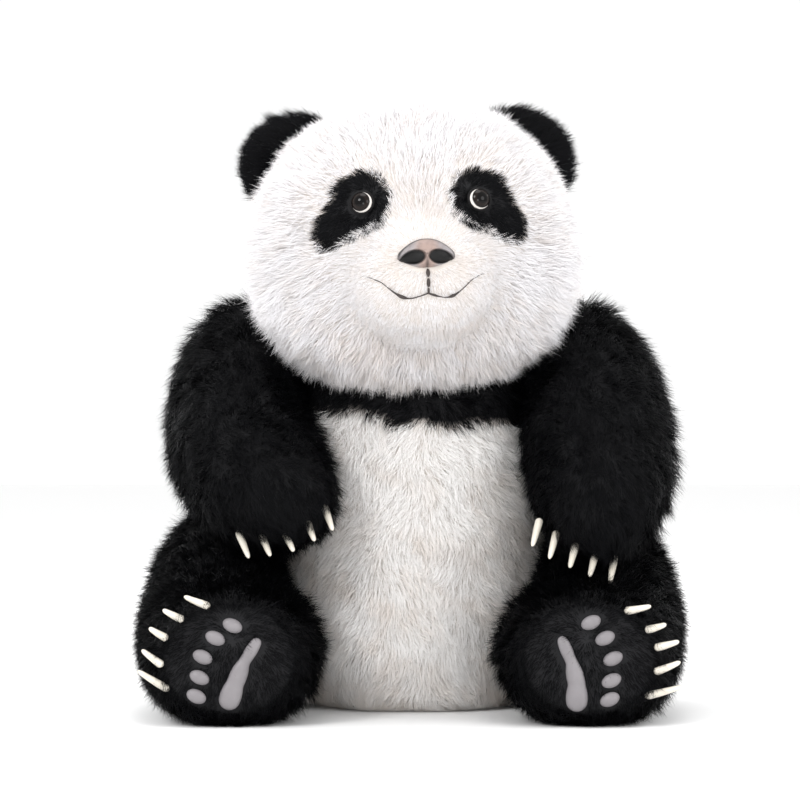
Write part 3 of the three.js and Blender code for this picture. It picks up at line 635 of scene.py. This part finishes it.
skins = cushioned()
for name, (skin, p, _, _) in skins.items():
    dark = np.full(len(p), float(name.startswith(("arm", "leg", "ear"))))
    if name == "head_skin":
        dark = smooth(0.002, -0.001, patch_edge(to_head(p)))
    if name == "torso_skin":
        dark = yoke_share(p)
    add_values(skin.data, dark=dark)
    skin.data.materials.append(BAG if name.startswith("pellet") else BACKING)


# ---------- fur ----------
GRID = 256  # cells along each side of the bake's picture, one for each strand of a piece
STRANDS_IN_ONE = GRID * GRID


def seeded_roots(points, triangles, normals, per_mm2):
    """Points spread evenly by area over a surface, with its normals there."""
    a, b, c = (points[triangles[:, k]] for k in range(3))
    area = np.linalg.norm(np.cross(b - a, c - a), axis=1) / 2
    count = int(area.sum() * 1e6 * per_mm2)
    chosen = random_numbers.choice(len(triangles), count, p=area / area.sum())
    u, v = random_numbers.random((2, count))
    u, v = np.where(u + v > 1, 1 - u, u), np.where(u + v > 1, 1 - v, v)
    weights = np.stack([1 - u - v, u, v], -1)[:, :, None]
    corners = triangles[chosen]
    return (points[corners] * weights).sum(1), unit((normals[corners] * weights).sum(1))


def strand_mesh(name, corners, shading, **values):
    """Strands of five points as one mesh: a four-cornered face and a pointed one each, the normals given, and
    each strand in its own cell of the bake's grid."""
    size = len(corners)
    mesh = bpy.data.meshes.new(name)
    mesh.vertices.add(size * 5)
    mesh.vertices.foreach_set("co", corners.astype(np.float32).ravel())
    number = np.arange(size, dtype=np.int32)[:, None]
    mesh.loops.add(size * 7)
    mesh.loops.foreach_set("vertex_index", (number * 5 + np.array([0, 1, 3, 2, 2, 3, 4], np.int32)).ravel())
    mesh.polygons.add(size * 2)
    mesh.polygons.foreach_set("loop_start", (number * 7 + np.array([0, 4], np.int32)).ravel())
    mesh.polygons.foreach_set("loop_total", np.tile(np.array([4, 3], np.int32), size))
    mesh.update(calc_edges=True)
    mesh.polygons.foreach_set("use_smooth", np.ones(size * 2, bool))
    add_values(mesh, along=np.tile(np.array([0, 0, 0.5, 0.5, 1.0]), size),
               **{title: np.repeat(numbers, 5) for title, numbers in values.items()})
    across = (number % GRID + np.array([0.2, 0.8, 0.8, 0.2, 0.2, 0.8, 0.5])) / GRID
    along = (number // GRID + np.array([0.1, 0.1, 0.5, 0.5, 0.5, 0.5, 0.9])) / GRID
    layer = mesh.uv_layers.new(name="OFBake")
    layer.data.foreach_set("uv", np.stack([across, along], -1).astype(np.float32).ravel())
    mesh.normals_split_custom_set_from_vertices(np.repeat(shading, 5, axis=0).astype(np.float32))
    return mesh


def grow(name, skin, material, keep, comb, length, per_mm2=1.1, lift=0.45, width=0.36,
         mess=0.35, clump=0.45, sink=1.5, soft=1.2, tint=None, seed=1):
    """Flat tapering strands on a skin. Each bends from its root's slope towards the comb's way in two even
    steps; near tips are drawn together in clumps of two sizes."""
    _, points, triangles, normals = skins[skin]
    thin = 1.0
    p, n = seeded_roots(points, triangles, normals, per_mm2 * thin)
    kept = keep(p, n) > random_numbers.random(len(p)) if keep else np.ones(len(p), bool)
    p, n = p[kept], n[kept]
    count = len(p)
    way = comb(p, n)
    way = unit(way - (way * n).sum(1, keepdims=True) * n)
    fine, broad = cell_random(p, 0.0055, seed), cell_random(p, 0.015, seed + 50)
    loose = random_numbers.normal(size=(count, 3))
    reach = (length(p, n) if callable(length) else np.full(count, length)) * MM
    reach = reach * (0.78 + 0.3 * random_numbers.random(count)) * (1 + 0.12 * fine[:, 0])
    half_reach = (reach * 0.5)[:, None]
    slope = (lift(p, n) if callable(lift) else lift) * (1 + 0.35 * broad[:, 1] + 0.25 * fine[:, 1])
    slope = slope[:, None]
    first = unit(n * (slope + 0.35) + way * 0.7 + loose * mess * 0.3 + fine * clump * 0.4)
    last = unit(n * slope * 0.8 + way + loose * mess * 0.55 + fine * clump * 0.8 + broad * clump * 0.7)
    root = p - n * sink * MM
    middle = root + first * half_reach
    tip = middle + last * half_reach
    for place in (root, middle, tip):
        place[:, 2] = np.maximum(place[:, 2], 0.5 * MM)
    roll = random_numbers.normal(size=count)[:, None] * 0.55
    across = unit(np.cross(last, n))
    across = unit(across * np.cos(roll) + unit(np.cross(across, last)) * np.sin(roll))
    half = across * (width * MM / 2 / thin ** 0.5) * (0.7 + 0.6 * random_numbers.random(count))[:, None]
    corners = np.stack([root - half, root + half, middle - half * 0.85, middle + half * 0.85, tip], 1)
    flat = unit(np.cross(across, last))
    flat = flat * np.sign((flat * n).sum(1, keepdims=True) + 1e-9)
    shading = unit(flat + n * soft)
    strand = random_numbers.random(count)
    # The tint share: beige on the face, and on the belly and back also painted shade low down and at the sides.
    tint_and_shade = tint(p, n) if tint else np.zeros(count)
    tint_and_shade = np.clip(tint_and_shade + 0.25 * fine[:, 2] * (tint_and_shade > 0.02), 0, 1)
    for number, start in enumerate(range(0, count, STRANDS_IN_ONE), 1):
        part = slice(start, start + STRANDS_IN_ONE)
        label = name if count <= STRANDS_IN_ONE else f"{name}_{number}"
        mesh = strand_mesh(label, corners[part], shading[part], strand=strand[part], tint=tint_and_shade[part])
        mesh.materials.append(material)
        fur = bpy.data.objects.new(label, mesh)
        scene.collection.objects.link(fur)
        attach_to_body(fur, SKINS[skin][0])


def muzzle_share(q):
    """1 on the short-haired muzzle, 0 on the long-haired head."""
    x, z = q[:, 0], q[:, 2] - HEAD_CENTRE[2] + MUZZLE_DROP
    return np.where(q[:, 1] < HEAD_CENTRE[1], 1 - smooth(0.75, 1.35, np.hypot(x / 0.05, z / 0.043)), 0)


def face_length(p, n):
    """Short beside the nose, longer over the cheeks, and shorter again between the eyes."""
    q = to_head(p)
    height = q[:, 2] - HEAD_CENTRE[2]
    long = 17 - 4.5 * smooth(0.0, 0.04, height) * smooth(0.085, 0.06, height) * (q[:, 1] < HEAD_CENTRE[1])
    long = long + 4 * smooth(0.055, 0.085, np.abs(q[:, 0])) * smooth(0.035, 0.0, height)
    near_patch = 1 - smooth(0.0, 0.012, patch_edge(q))
    return long * (1 - muzzle_share(q)) * (1 - 0.45 * near_patch) + 4.4 * muzzle_share(q)


def head_keep(p, n):
    """Pile everywhere but on the nose, the mouth, the eyes, the patches and a strip under each ear."""
    q = to_head(p)
    bare = (nose_distance(q) < 0.88) | (mouth_distance(q) < 0.6 * MM) | (eye_distance(q) < 8 * MM)
    from_ear = np.hypot(np.abs(q[:, 0]) - 0.071, q[:, 2] - HEAD_CENTRE[2] - 0.052)
    under_ear = (from_ear < 0.024) & (np.abs(q[:, 1] - HEAD_CENTRE[1] - 0.022) < 0.01)
    return np.where(bare | under_ear | (patch_edge(q) < 0), 0, 1.0)


def face_warmth(p, n):
    """Beige beside the nose, on the bridge and under the chin, in soft uneven spots."""
    q = to_head(p)
    front = smooth(0.0, 0.04, HEAD_CENTRE[1] - q[:, 1])
    height = q[:, 2] - HEAD_CENTRE[2]
    chin = smooth(-0.045, -0.085, height) * 0.35
    bridge = np.exp(-(q[:, 0] / 0.016) ** 2 - ((height - 0.018) / 0.022) ** 2) * 0.5
    beside = np.exp(-((np.abs(q[:, 0]) - 0.022) / 0.013) ** 2 - ((height + 0.012) / 0.014) ** 2) * 0.6
    below = np.exp(-((np.abs(q[:, 0]) - 0.03) / 0.03) ** 2 - ((height + 0.052) / 0.014) ** 2) * 0.3
    warmth = front * (chin + bridge + beside + below) + 0.05 + 0.1 * ripple(p, 0.04, 3)
    return np.clip(warmth * (1 - 0.45 * muzzle_share(q)), 0, 1)


def belly_tint_and_shade(p, n):
    """Cream and pinker in the middle; browner towards the bottom and both sides, where the brown is painted
    shade low down and under the arms.
    """
    # Painted shade: browner low down and towards both sides, under the arms.
    low = smooth(0.05, 0.0, p[:, 2]) * 0.4
    side = smooth(0.03, 0.07, p[:, 0]) * smooth(0.17, 0.1, p[:, 2]) * 0.4
    other = smooth(0.035, 0.075, -p[:, 0]) * smooth(0.17, 0.1, p[:, 2]) * 0.35
    middle = np.exp(-((p[:, 0] + 0.01) / 0.04) ** 2 - ((p[:, 2] - 0.08) / 0.05) ** 2) * 0.2
    return np.clip(low + side + other + middle + 0.18 * ripple(p, 0.035, 9), 0, 1)


def on_muzzle(p):
    """Whether each point is in the short-haired part of the face."""
    return muzzle_share(to_head(p)) >= 0.5


def patch_keep(p, n):
    """Pile on the patches, up to their edge and not over the eyes."""
    q = to_head(p)
    return (patch_edge(q) < 0.5 * MM) & (eye_distance(q) > 7.5 * MM)


def sole_share(n):
    """1 where the skin faces forwards, as the soles do."""
    return smooth(0.6, 0.95, -n[:, 1])


grow("head_fur", "head_skin", WHITE, lambda p, n: head_keep(p, n) * ~on_muzzle(p), head_comb,
     face_length, 1.1, tint=face_warmth, mess=0.45, clump=0.4)
grow("muzzle_fur", "head_skin", SHORT_WHITE, lambda p, n: head_keep(p, n) * on_muzzle(p),
     head_comb, face_length, 2.6,
     lift=0.3, width=0.24, tint=face_warmth, mess=0.25, clump=0.1, sink=0.6, seed=2)
grow("eye_patch_fur", "head_skin", BLACK, patch_keep, patch_comb,
     lambda p, n: 8.5 - 3.5 * smooth(0.034, 0.02, np.abs(to_head(p)[:, 0])), 2.4,
     lift=0.3, width=0.32, mess=0.25, soft=0.5, seed=3)
for side in SIGN:
    grow("ear_fur_" + side, "ear_skin_" + side, BLACK, None, ear_comb, 14.0, 1.8,
         lift=0.4, soft=0.5, seed=4)
    paw, toes = clear_of_claws("paw", side, 3.2 * MM), clear_of_claws("toe", side, 4.5 * MM)
    pads = pads_near(side)
    grow("arm_fur_" + side, "arm_skin_" + side, BLACK, paw, arm_comb(side), 18.5, 0.9,
         width=0.33, soft=0.5, seed=5)
    grow("leg_fur_" + side, "leg_skin_" + side, BLACK,
         lambda p, n: smooth(-0.0005, 0.001, pads(p)) * toes(p, n), leg_comb(side),
         lambda p, n: 18 - 9 * smooth(0.5, 0.95, -n[:, 1]), 0.9,
         width=0.34, soft=0.5, seed=6, lift=lambda p, n: 0.45 + 0.45 * sole_share(n), mess=0.5)
grow("chest_fur", "torso_skin", BLACK, lambda p, n: yoke_share(p), body_comb, 17.0, 0.8,
     soft=0.5, seed=7)
grow("belly_fur", "torso_skin", BELLY_WHITE,
     lambda p, n: (1 - yoke_share(p)) * (p[:, 1] < SIDE_SEAM), body_comb, 14.5, 1.4,
     width=0.32, tint=belly_tint_and_shade, mess=0.45, clump=0.4, soft=2.0, seed=8)
grow("back_fur", "torso_skin", WHITE,
     lambda p, n: (1 - yoke_share(p)) * (p[:, 1] >= SIDE_SEAM), body_comb, 17.0, 0.62,
     width=0.4, tint=belly_tint_and_shade, mess=0.5, seed=9)
grow("tail_fur", "tail_skin", WHITE, None, body_comb, 16.0, 1.2, seed=10)

# ---------- everything that stays as built ----------
for name, node in nodes.items():
    if "washer" in name or "_post" in name:
        node.data.materials.clear()
        node.data.materials.append(BOARD)


# ---------- eyes, nose, mouth, claws and pads ----------
def in_head(name):
    """A CAD node's points in the head's frame."""
    return to_head(node_mesh(name)[0])


def grid_faces(rows, columns):
    """The faces of a grid of points, row by row, closed round each row."""
    r, c = np.meshgrid(np.arange(rows - 1), np.arange(columns), indexing="ij")
    here, beside = r * columns + c, r * columns + (c + 1) % columns
    return np.stack([here, beside, beside + columns, here + columns], -1).reshape(-1, 4)


def attach(thing, body, material, slot, *replaced):
    """A finished piece: its finish, the body that it rides and the CAD nodes that it stands for. The slot is not
    used.
    """
    thing.data.materials.append(material)
    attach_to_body(thing, body)
    if replaced:
        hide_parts(*replaced)


eye = Finish("polished dark eye", (0.01, 0.008, 0.008), 0.05, Specular_IOR_Level=0.18)
iris = eye.mixed(eye.attribute("iris"), (0.0015, 0.001, 0.001), (0.010, 0.006, 0.0045))
sclera = eye.mixed(eye.noise(400.0), (0.85, 0.82, 0.78), (0.70, 0.64, 0.60))
EYE = eye.set(Base_Color=eye.mixed(eye.attribute("white"), iris, sclera)).material
lid = Finish("black eye rim", (0.012, 0.011, 0.012), 0.5, Specular_IOR_Level=0.12)
lid.set(Base_Color=lid.mixed(lid.noise(700.0), (0.003, 0.003, 0.003), (0.012, 0.011, 0.012)))
LID = lid.bump(lid.noise(1200.0), 0.2, 0.0003).material
nose = Finish("satin nose resin", (0.3, 0.24, 0.22), 0.36, Specular_IOR_Level=0.25)
nose_skin = nose.mixed(nose.attribute("wing"), (0.33, 0.245, 0.215), (0.29, 0.27, 0.275))
nose_skin = nose.mixed(nose.noise(260.0, 5.0).step(0.35, 0.75) * 0.5, nose_skin, (0.16, 0.12, 0.115))
# Near black where dark is set: the nostrils, the middle groove, and the top rim, where it is painted shade.
nose.set(Base_Color=nose.mixed(nose.attribute("dark"), nose_skin, (0.002, 0.0018, 0.002)))
NOSE = nose.bump(nose.noise(1100.0, 4.0), 0.35, 0.0005).material


def spread(amounts, way):
    """That amount along one way, for every place of a grid."""
    return amounts[..., None] * way


def make_eye(side):
    """A dome of circles, its outline a quarter ellipse, over a ring that stands for the lid."""
    sign = SIGN[side]
    p = in_head("eye_" + side)
    pole = p[p[:, 1].argmin()]
    axis = unit(np.array([0.55 * sign * EYE_OUT, pole[1] + 0.004 - HEAD_CENTRE[1], 0.4 * EYE_UP]))
    pole = p[(p @ axis).argmax()]
    centre = pole - axis * 5.5 * MM
    right = unit(np.cross(axis, np.array([0, 0, 1.0])))
    up = np.cross(right, axis)
    a = np.linspace(0.02, 1.75, 28)[:, None]
    turn = np.linspace(0, 2 * math.pi, 56, endpoint=False)[None, :]
    u, v = np.sin(a) * np.cos(turn), np.sin(a) * np.sin(turn)
    height = np.cos(a) + 0 * turn
    points = centre + spread(u * EYE_RADIUS, right) + spread(v * EYE_RADIUS, up)
    points = points + spread(height * 5.6 * MM, axis)
    lens = new_object("eye_lens_" + side, at_head(points.reshape(-1, 3)), grid_faces(28, 56)[:, ::-1])
    out = np.sign((right * sign)[0])
    from_iris = np.hypot(u - 0.10 * out, v - 0.055)
    radius = np.hypot(u, v)
    white = smooth(0.89, 0.925, from_iris) * smooth(0.985, 0.96, radius) * (height > 0)
    ring = smooth(0.45, 0.6, from_iris) * smooth(0.85, 0.75, from_iris)
    add_values(lens.data, white=white.ravel(), iris=ring.ravel())
    attach(lens, "head", EYE, "eye_glass", "eye_" + side)
    b = np.linspace(0, 2 * math.pi, 14, endpoint=False)[:, None]
    wide = 7.25 + 0.95 * np.cos(b) + 0.25 * np.cos(2 * (turn - 0.6 * sign))
    tall = 0.9 + 1.0 * np.sin(b) + 0 * turn
    rim = centre + spread(wide * np.cos(turn) * MM, right) + spread(wide * np.sin(turn) * MM, up)
    rim = rim + spread(tall * MM, axis)
    rim = np.concatenate([rim, rim[:1]]).reshape(-1, 3)
    attach(new_object("eye_rim_" + side, at_head(rim), grid_faces(15, 56)), "head", LID, "black_fur")


def make_nose():
    """A domed oval, higher in the middle than at the wings, with two dents for nostrils."""
    p = in_head("nose")
    front = p[:, 1].min()
    middle = np.array([0.0, front, HEAD_CENTRE[2] - NOSE_DROP])
    s = (np.linspace(0.01, 1, 44) ** 0.8)[:, None]
    turn = np.linspace(0, 2 * math.pi, 112, endpoint=False)[None, :]
    square = (np.abs(np.cos(turn)) ** 2.3 + np.abs(np.sin(turn)) ** 2.3) ** (-1 / 2.3)
    a, b = s * square * np.cos(turn), s * square * np.sin(turn)
    arch = 0.14 * (1 - a * a) * smooth(-0.6, 1, b) - 0.2 * a * a * smooth(-1, 0.2, b)
    narrow = 1 - 0.30 * smooth(0.1, 1.0, -b) - 0.14 * smooth(0.2, 1.0, b)
    x = a * narrow * 18.6 * MM
    z = (b * 0.9 + arch) * 9.9 * MM
    depth = (1 - np.clip(s, 0, 1) ** 2.3) ** (1 / 2.3) * 10 * MM
    cu, cv = np.abs(a) - 0.50, b + 0.20 + 0.12 * (np.abs(a) - 0.50)
    hole = smooth(1.1, 0.86, np.hypot(cu / 0.45, cv / 0.50))
    tail = smooth(1.15, 0.8, np.hypot((np.abs(a) - 0.80) / 0.2, (b + 0.30) / 0.24))
    nostril = np.maximum(hole, tail)
    groove = np.exp(-(a / 0.07) ** 2) * smooth(0.1, -0.7, b)
    y = middle[1] + 12.5 * MM - depth + (3.6 * nostril + 0.7 * groove) * MM
    y = np.where(s > 0.985, y + 8 * MM, y)
    points = np.stack([middle[0] + x, y + 0 * x, middle[2] + z], -1).reshape(-1, 3)
    piece = new_object("nose_moulding", at_head(points), grid_faces(44, 112)[:, ::-1])
    # Painted shade: the top rim of the nose is darkened.
    edge = smooth(0.86, 0.97, s + 0 * a) * smooth(-0.3, 0.3, b)
    dark = np.maximum(np.maximum(nostril, edge), 0.7 * groove)
    add_values(piece.data, dark=dark.ravel(), wing=smooth(0.2, 0.6, np.abs(a)).ravel())
    attach(piece, "head", NOSE, "nose_resin", "nose")


def tube(line, radii, around=10):
    """A round tube along a line of points: circles square to the line, joined in order."""
    way = unit(np.gradient(line, axis=0))
    side = unit(np.cross(way, np.array([0, 1.0, 0.05])))
    other = np.cross(side, way)
    turn = np.linspace(0, 2 * math.pi, around, endpoint=False)[None, :, None]
    circle = np.cos(turn) * side[:, None] + np.sin(turn) * other[:, None]
    rings = line[:, None] + circle * radii[:, None, None]
    return rings.reshape(-1, 3), grid_faces(len(line), around)


def face_front(x, z):
    """How far forward the head's skin stands at each place of its front: a mean that fades with distance."""
    q = to_head(skins["head_skin"][1])
    q = q[(q[:, 1] < HEAD_CENTRE[1] - 0.05) & (np.abs(q[:, 0]) < 0.06)]
    far = (q[None, :, 0] - x[:, None]) ** 2 + (q[None, :, 2] - z[:, None]) ** 2
    near = np.exp(-far / (2.4 * MM) ** 2) + 1e-9
    return (near * q[None, :, 1]).sum(1) / near.sum(1)


def make_mouth():
    """The smile: one waxed thread over the muzzle, thicker beside its middle; then stitches up to the nose."""
    x = np.linspace(-MOUTH_HALF, MOUTH_HALF, 110)
    z = HEAD_CENTRE[2] - MOUTH_DROP + mouth_height(np.abs(x))
    y = face_front(x, z) - 1.7 * MM
    spot = np.exp(-((np.abs(x) - 0.0165) / 0.003) ** 2) + 0.5 * np.exp(-((x - 0.003) / 0.004) ** 2)
    line = np.stack([x, y, z], -1)
    radii = (0.34 + 0.7 * spot + 0.12 * ripple(line, 0.006, 8)) * MM * smooth(0.0, 0.006, 0.0412 - np.abs(x))
    parts = [tube(at_head(line), radii + 0.02 * MM)]
    for top, bottom, thick in ((7.5, 2.6, 1.3), (1.4, -4.0, 1.15), (-4.6, -8.5, 0.75)):
        z = HEAD_CENTRE[2] - MOUTH_DROP + np.linspace(top, bottom, 14) * MM
        x = 0 * z + 0.3 * MM
        y = face_front(x, z) - 1.5 * MM
        radii = thick * MM * np.sin(np.linspace(0.25, 2.9, 14)) ** 0.5
        parts.append(tube(at_head(np.stack([x, y, z], -1)), radii))
    stitching = new_object("mouth_stitching", *stacked(parts))
    attach(stitching, "head", THREAD, "stitch_thread", "mouth_thread")


def ball_at(centre, halves, matrix=None, rings=18, around=30):
    """A ball of circles, stretched to its three half sizes and turned."""
    a = np.linspace(0.001, math.pi - 0.001, rings)[:, None]
    turn = np.linspace(0, 2 * math.pi, around, endpoint=False)[None, :]
    p = np.stack([np.sin(a) * np.cos(turn), np.cos(a) + 0 * turn, np.sin(a) * np.sin(turn)], -1)
    p = p.reshape(-1, 3) * halves
    return (p if matrix is None else p @ matrix.T) + centre, grid_faces(rings, around)


def make_pads(side):
    """Five oval toe pads, and a sole pad of balls along a line, remeshed into one and laid on the sole."""
    p, _ = node_mesh("foot_pads_" + side)
    middle = FOOT_MIDDLE[side]
    tilt = turn_about((0, 1, 0), -0.42 * SIGN[side])
    parts = []
    for out, up in TOE_PADS[side]:
        x, z = middle + out * MM, up * MM
        front = p[np.hypot(p[:, 0] - x, p[:, 2] - z) < 7 * MM][:, 1].min()
        parts.append(ball_at(np.array([x, front + 3.4 * MM, z]), np.array([6.6, 3.6, 4.4]) * MM, tilt))
    pin = np.array(SOLE_PAD[side], float)
    steps = np.linspace(0, len(pin) - 1, 26)
    out, up, radius = (np.interp(steps, np.arange(len(pin)), pin[:, k]) for k in range(3))
    swell = radius * 0.88 + 0.4 * np.sin(steps * 5.2)
    lumps = [ball_at(np.array([middle + o * MM, 0, u * MM]), np.array([r, r, r]) * MM, None, 12, 18)
             for o, u, r in zip(out, up, swell)]
    q, f = remeshed(*stacked(lumps), 0.8 * MM)
    for _ in range(5):
        q = q + 0.5 * (neighbour_mean(q, f) - q)
    far = (p[None, :, 0] - q[:, None, 0]) ** 2 + (p[None, :, 2] - q[:, None, 2]) ** 2
    local = np.exp(-far / (6 * MM) ** 2) * (p[None, :, 1] < p[:, 1].min() + 9 * MM) + 1e-9
    q[:, 1] = q[:, 1] * 0.62 + (local * p[None, :, 1]).sum(1) / local.sum(1) + 1.5 * MM
    parts.append((q, f))
    pads = new_object("sole_pads_" + side, *stacked(parts))
    attach(pads, "leg_" + side, PAD, "pad_rubber", "foot_pads_" + side)


def make_claw(name, body, ends, forward, droop):
    """A blunt cast horn: circles that shrink slowly as a power of the way along and close round at the tip.
    It stands forwards of its CAD line, and its tip is lowered by droop."""
    thick, thin = ends
    share = np.linspace(0, 1, 28)
    bend = np.array([0, 0, -droop]) * (share ** 2.2)[:, None]
    line = thick + share[:, None] * (thin - thick) * 1.1 + np.array([0, -forward, 0]) + bend
    tip = np.sqrt(np.clip(1 - (np.clip(share - 0.86, 0, 1) / 0.145) ** 2, 0, 1))
    radii = 2.7 * (1 - 0.5 * share ** 1.6) * MM * tip * (0.25 + 0.75 * smooth(-0.04, 0.1, share))
    points, faces = tube(line, radii, 14)
    attach(new_object(name + "_casting", points, faces), body, CLAW, "claw_resin", name)


for side in SIGN:
    make_eye(side)
    make_pads(side)
    paw_bars, toe_bars = claw_bars("paw", side), claw_bars("toe", side)
    for number in range(5):
        name = f"claw_{side}_{number + 1}"
        make_claw("paw_" + name, "arm_" + side, paw_bars[number], 0.4 * MM, 1.0 * MM)
        make_claw("toe_" + name, "leg_" + side, toe_bars[number], 2.6 * MM, -1.0 * MM)
make_nose()
make_mouth()

# ---------- light, floor and camera ----------
def area_light(name, place, aim, size, power):
    """A round white soft box that faces aim."""
    data = bpy.data.lights.new(name, "AREA")
    data.shape, data.size, data.energy = "DISK", size, power
    lamp = bpy.data.objects.new(name, data)
    scene.collection.objects.link(lamp)
    lamp.location = place
    lamp.rotation_euler = (Vector(aim) - Vector(place)).to_track_quat("-Z", "Y").to_euler()


area_light("key", (-1.3, -1.9, 1.6), (0, 0, 0.2), 0.9, 29)
area_light("fill", (1.6, -1.6, 0.9), (0, 0, 0.2), 1.2, 13)
area_light("top", (0.0, -0.2, 2.0), (0, 0, 0.2), 1.2, 10)
area_light("front", (0.1, -2.4, 0.25), (0, 0, 0.15), 0.7, 7)
area_light("rim_left", (-1.4, 1.2, 1.0), (0, 0, 0.25), 0.8, 12)
area_light("rim_right", (1.4, 1.2, 1.0), (0, 0, 0.25), 0.8, 12)
scene.view_settings.view_transform = "Standard"
world = bpy.data.worlds.new("white room")
world.use_nodes = True
world.node_tree.nodes["Background"].inputs["Color"].default_value = (1, 1, 1, 1)
world.node_tree.nodes["Background"].inputs["Strength"].default_value = 1.02
scene.world = world

floor_corners = np.array([[-6, -6, 0], [6, -6, 0], [6, 6, 0], [-6, 6, 0]], float)
floor = new_object("floor", floor_corners, np.array([[0, 1, 2, 3]]))
paper = Finish("white paper floor", (0.95, 0.95, 0.95), 0.7, Specular_IOR_Level=0.2)
floor.data.materials.append(paper.material)

lens = bpy.data.cameras.new("camera")
lens.lens, lens.sensor_width = 152, 36
lens.clip_start, lens.clip_end = 0.05, 50
lens.dof.use_dof = False
camera = bpy.data.objects.new("camera", lens)
scene.collection.objects.link(camera)
camera.location = (-0.00845, -2.3, 0.2085)
camera.rotation_euler = (math.radians(90), 0, 0)
scene.camera = camera
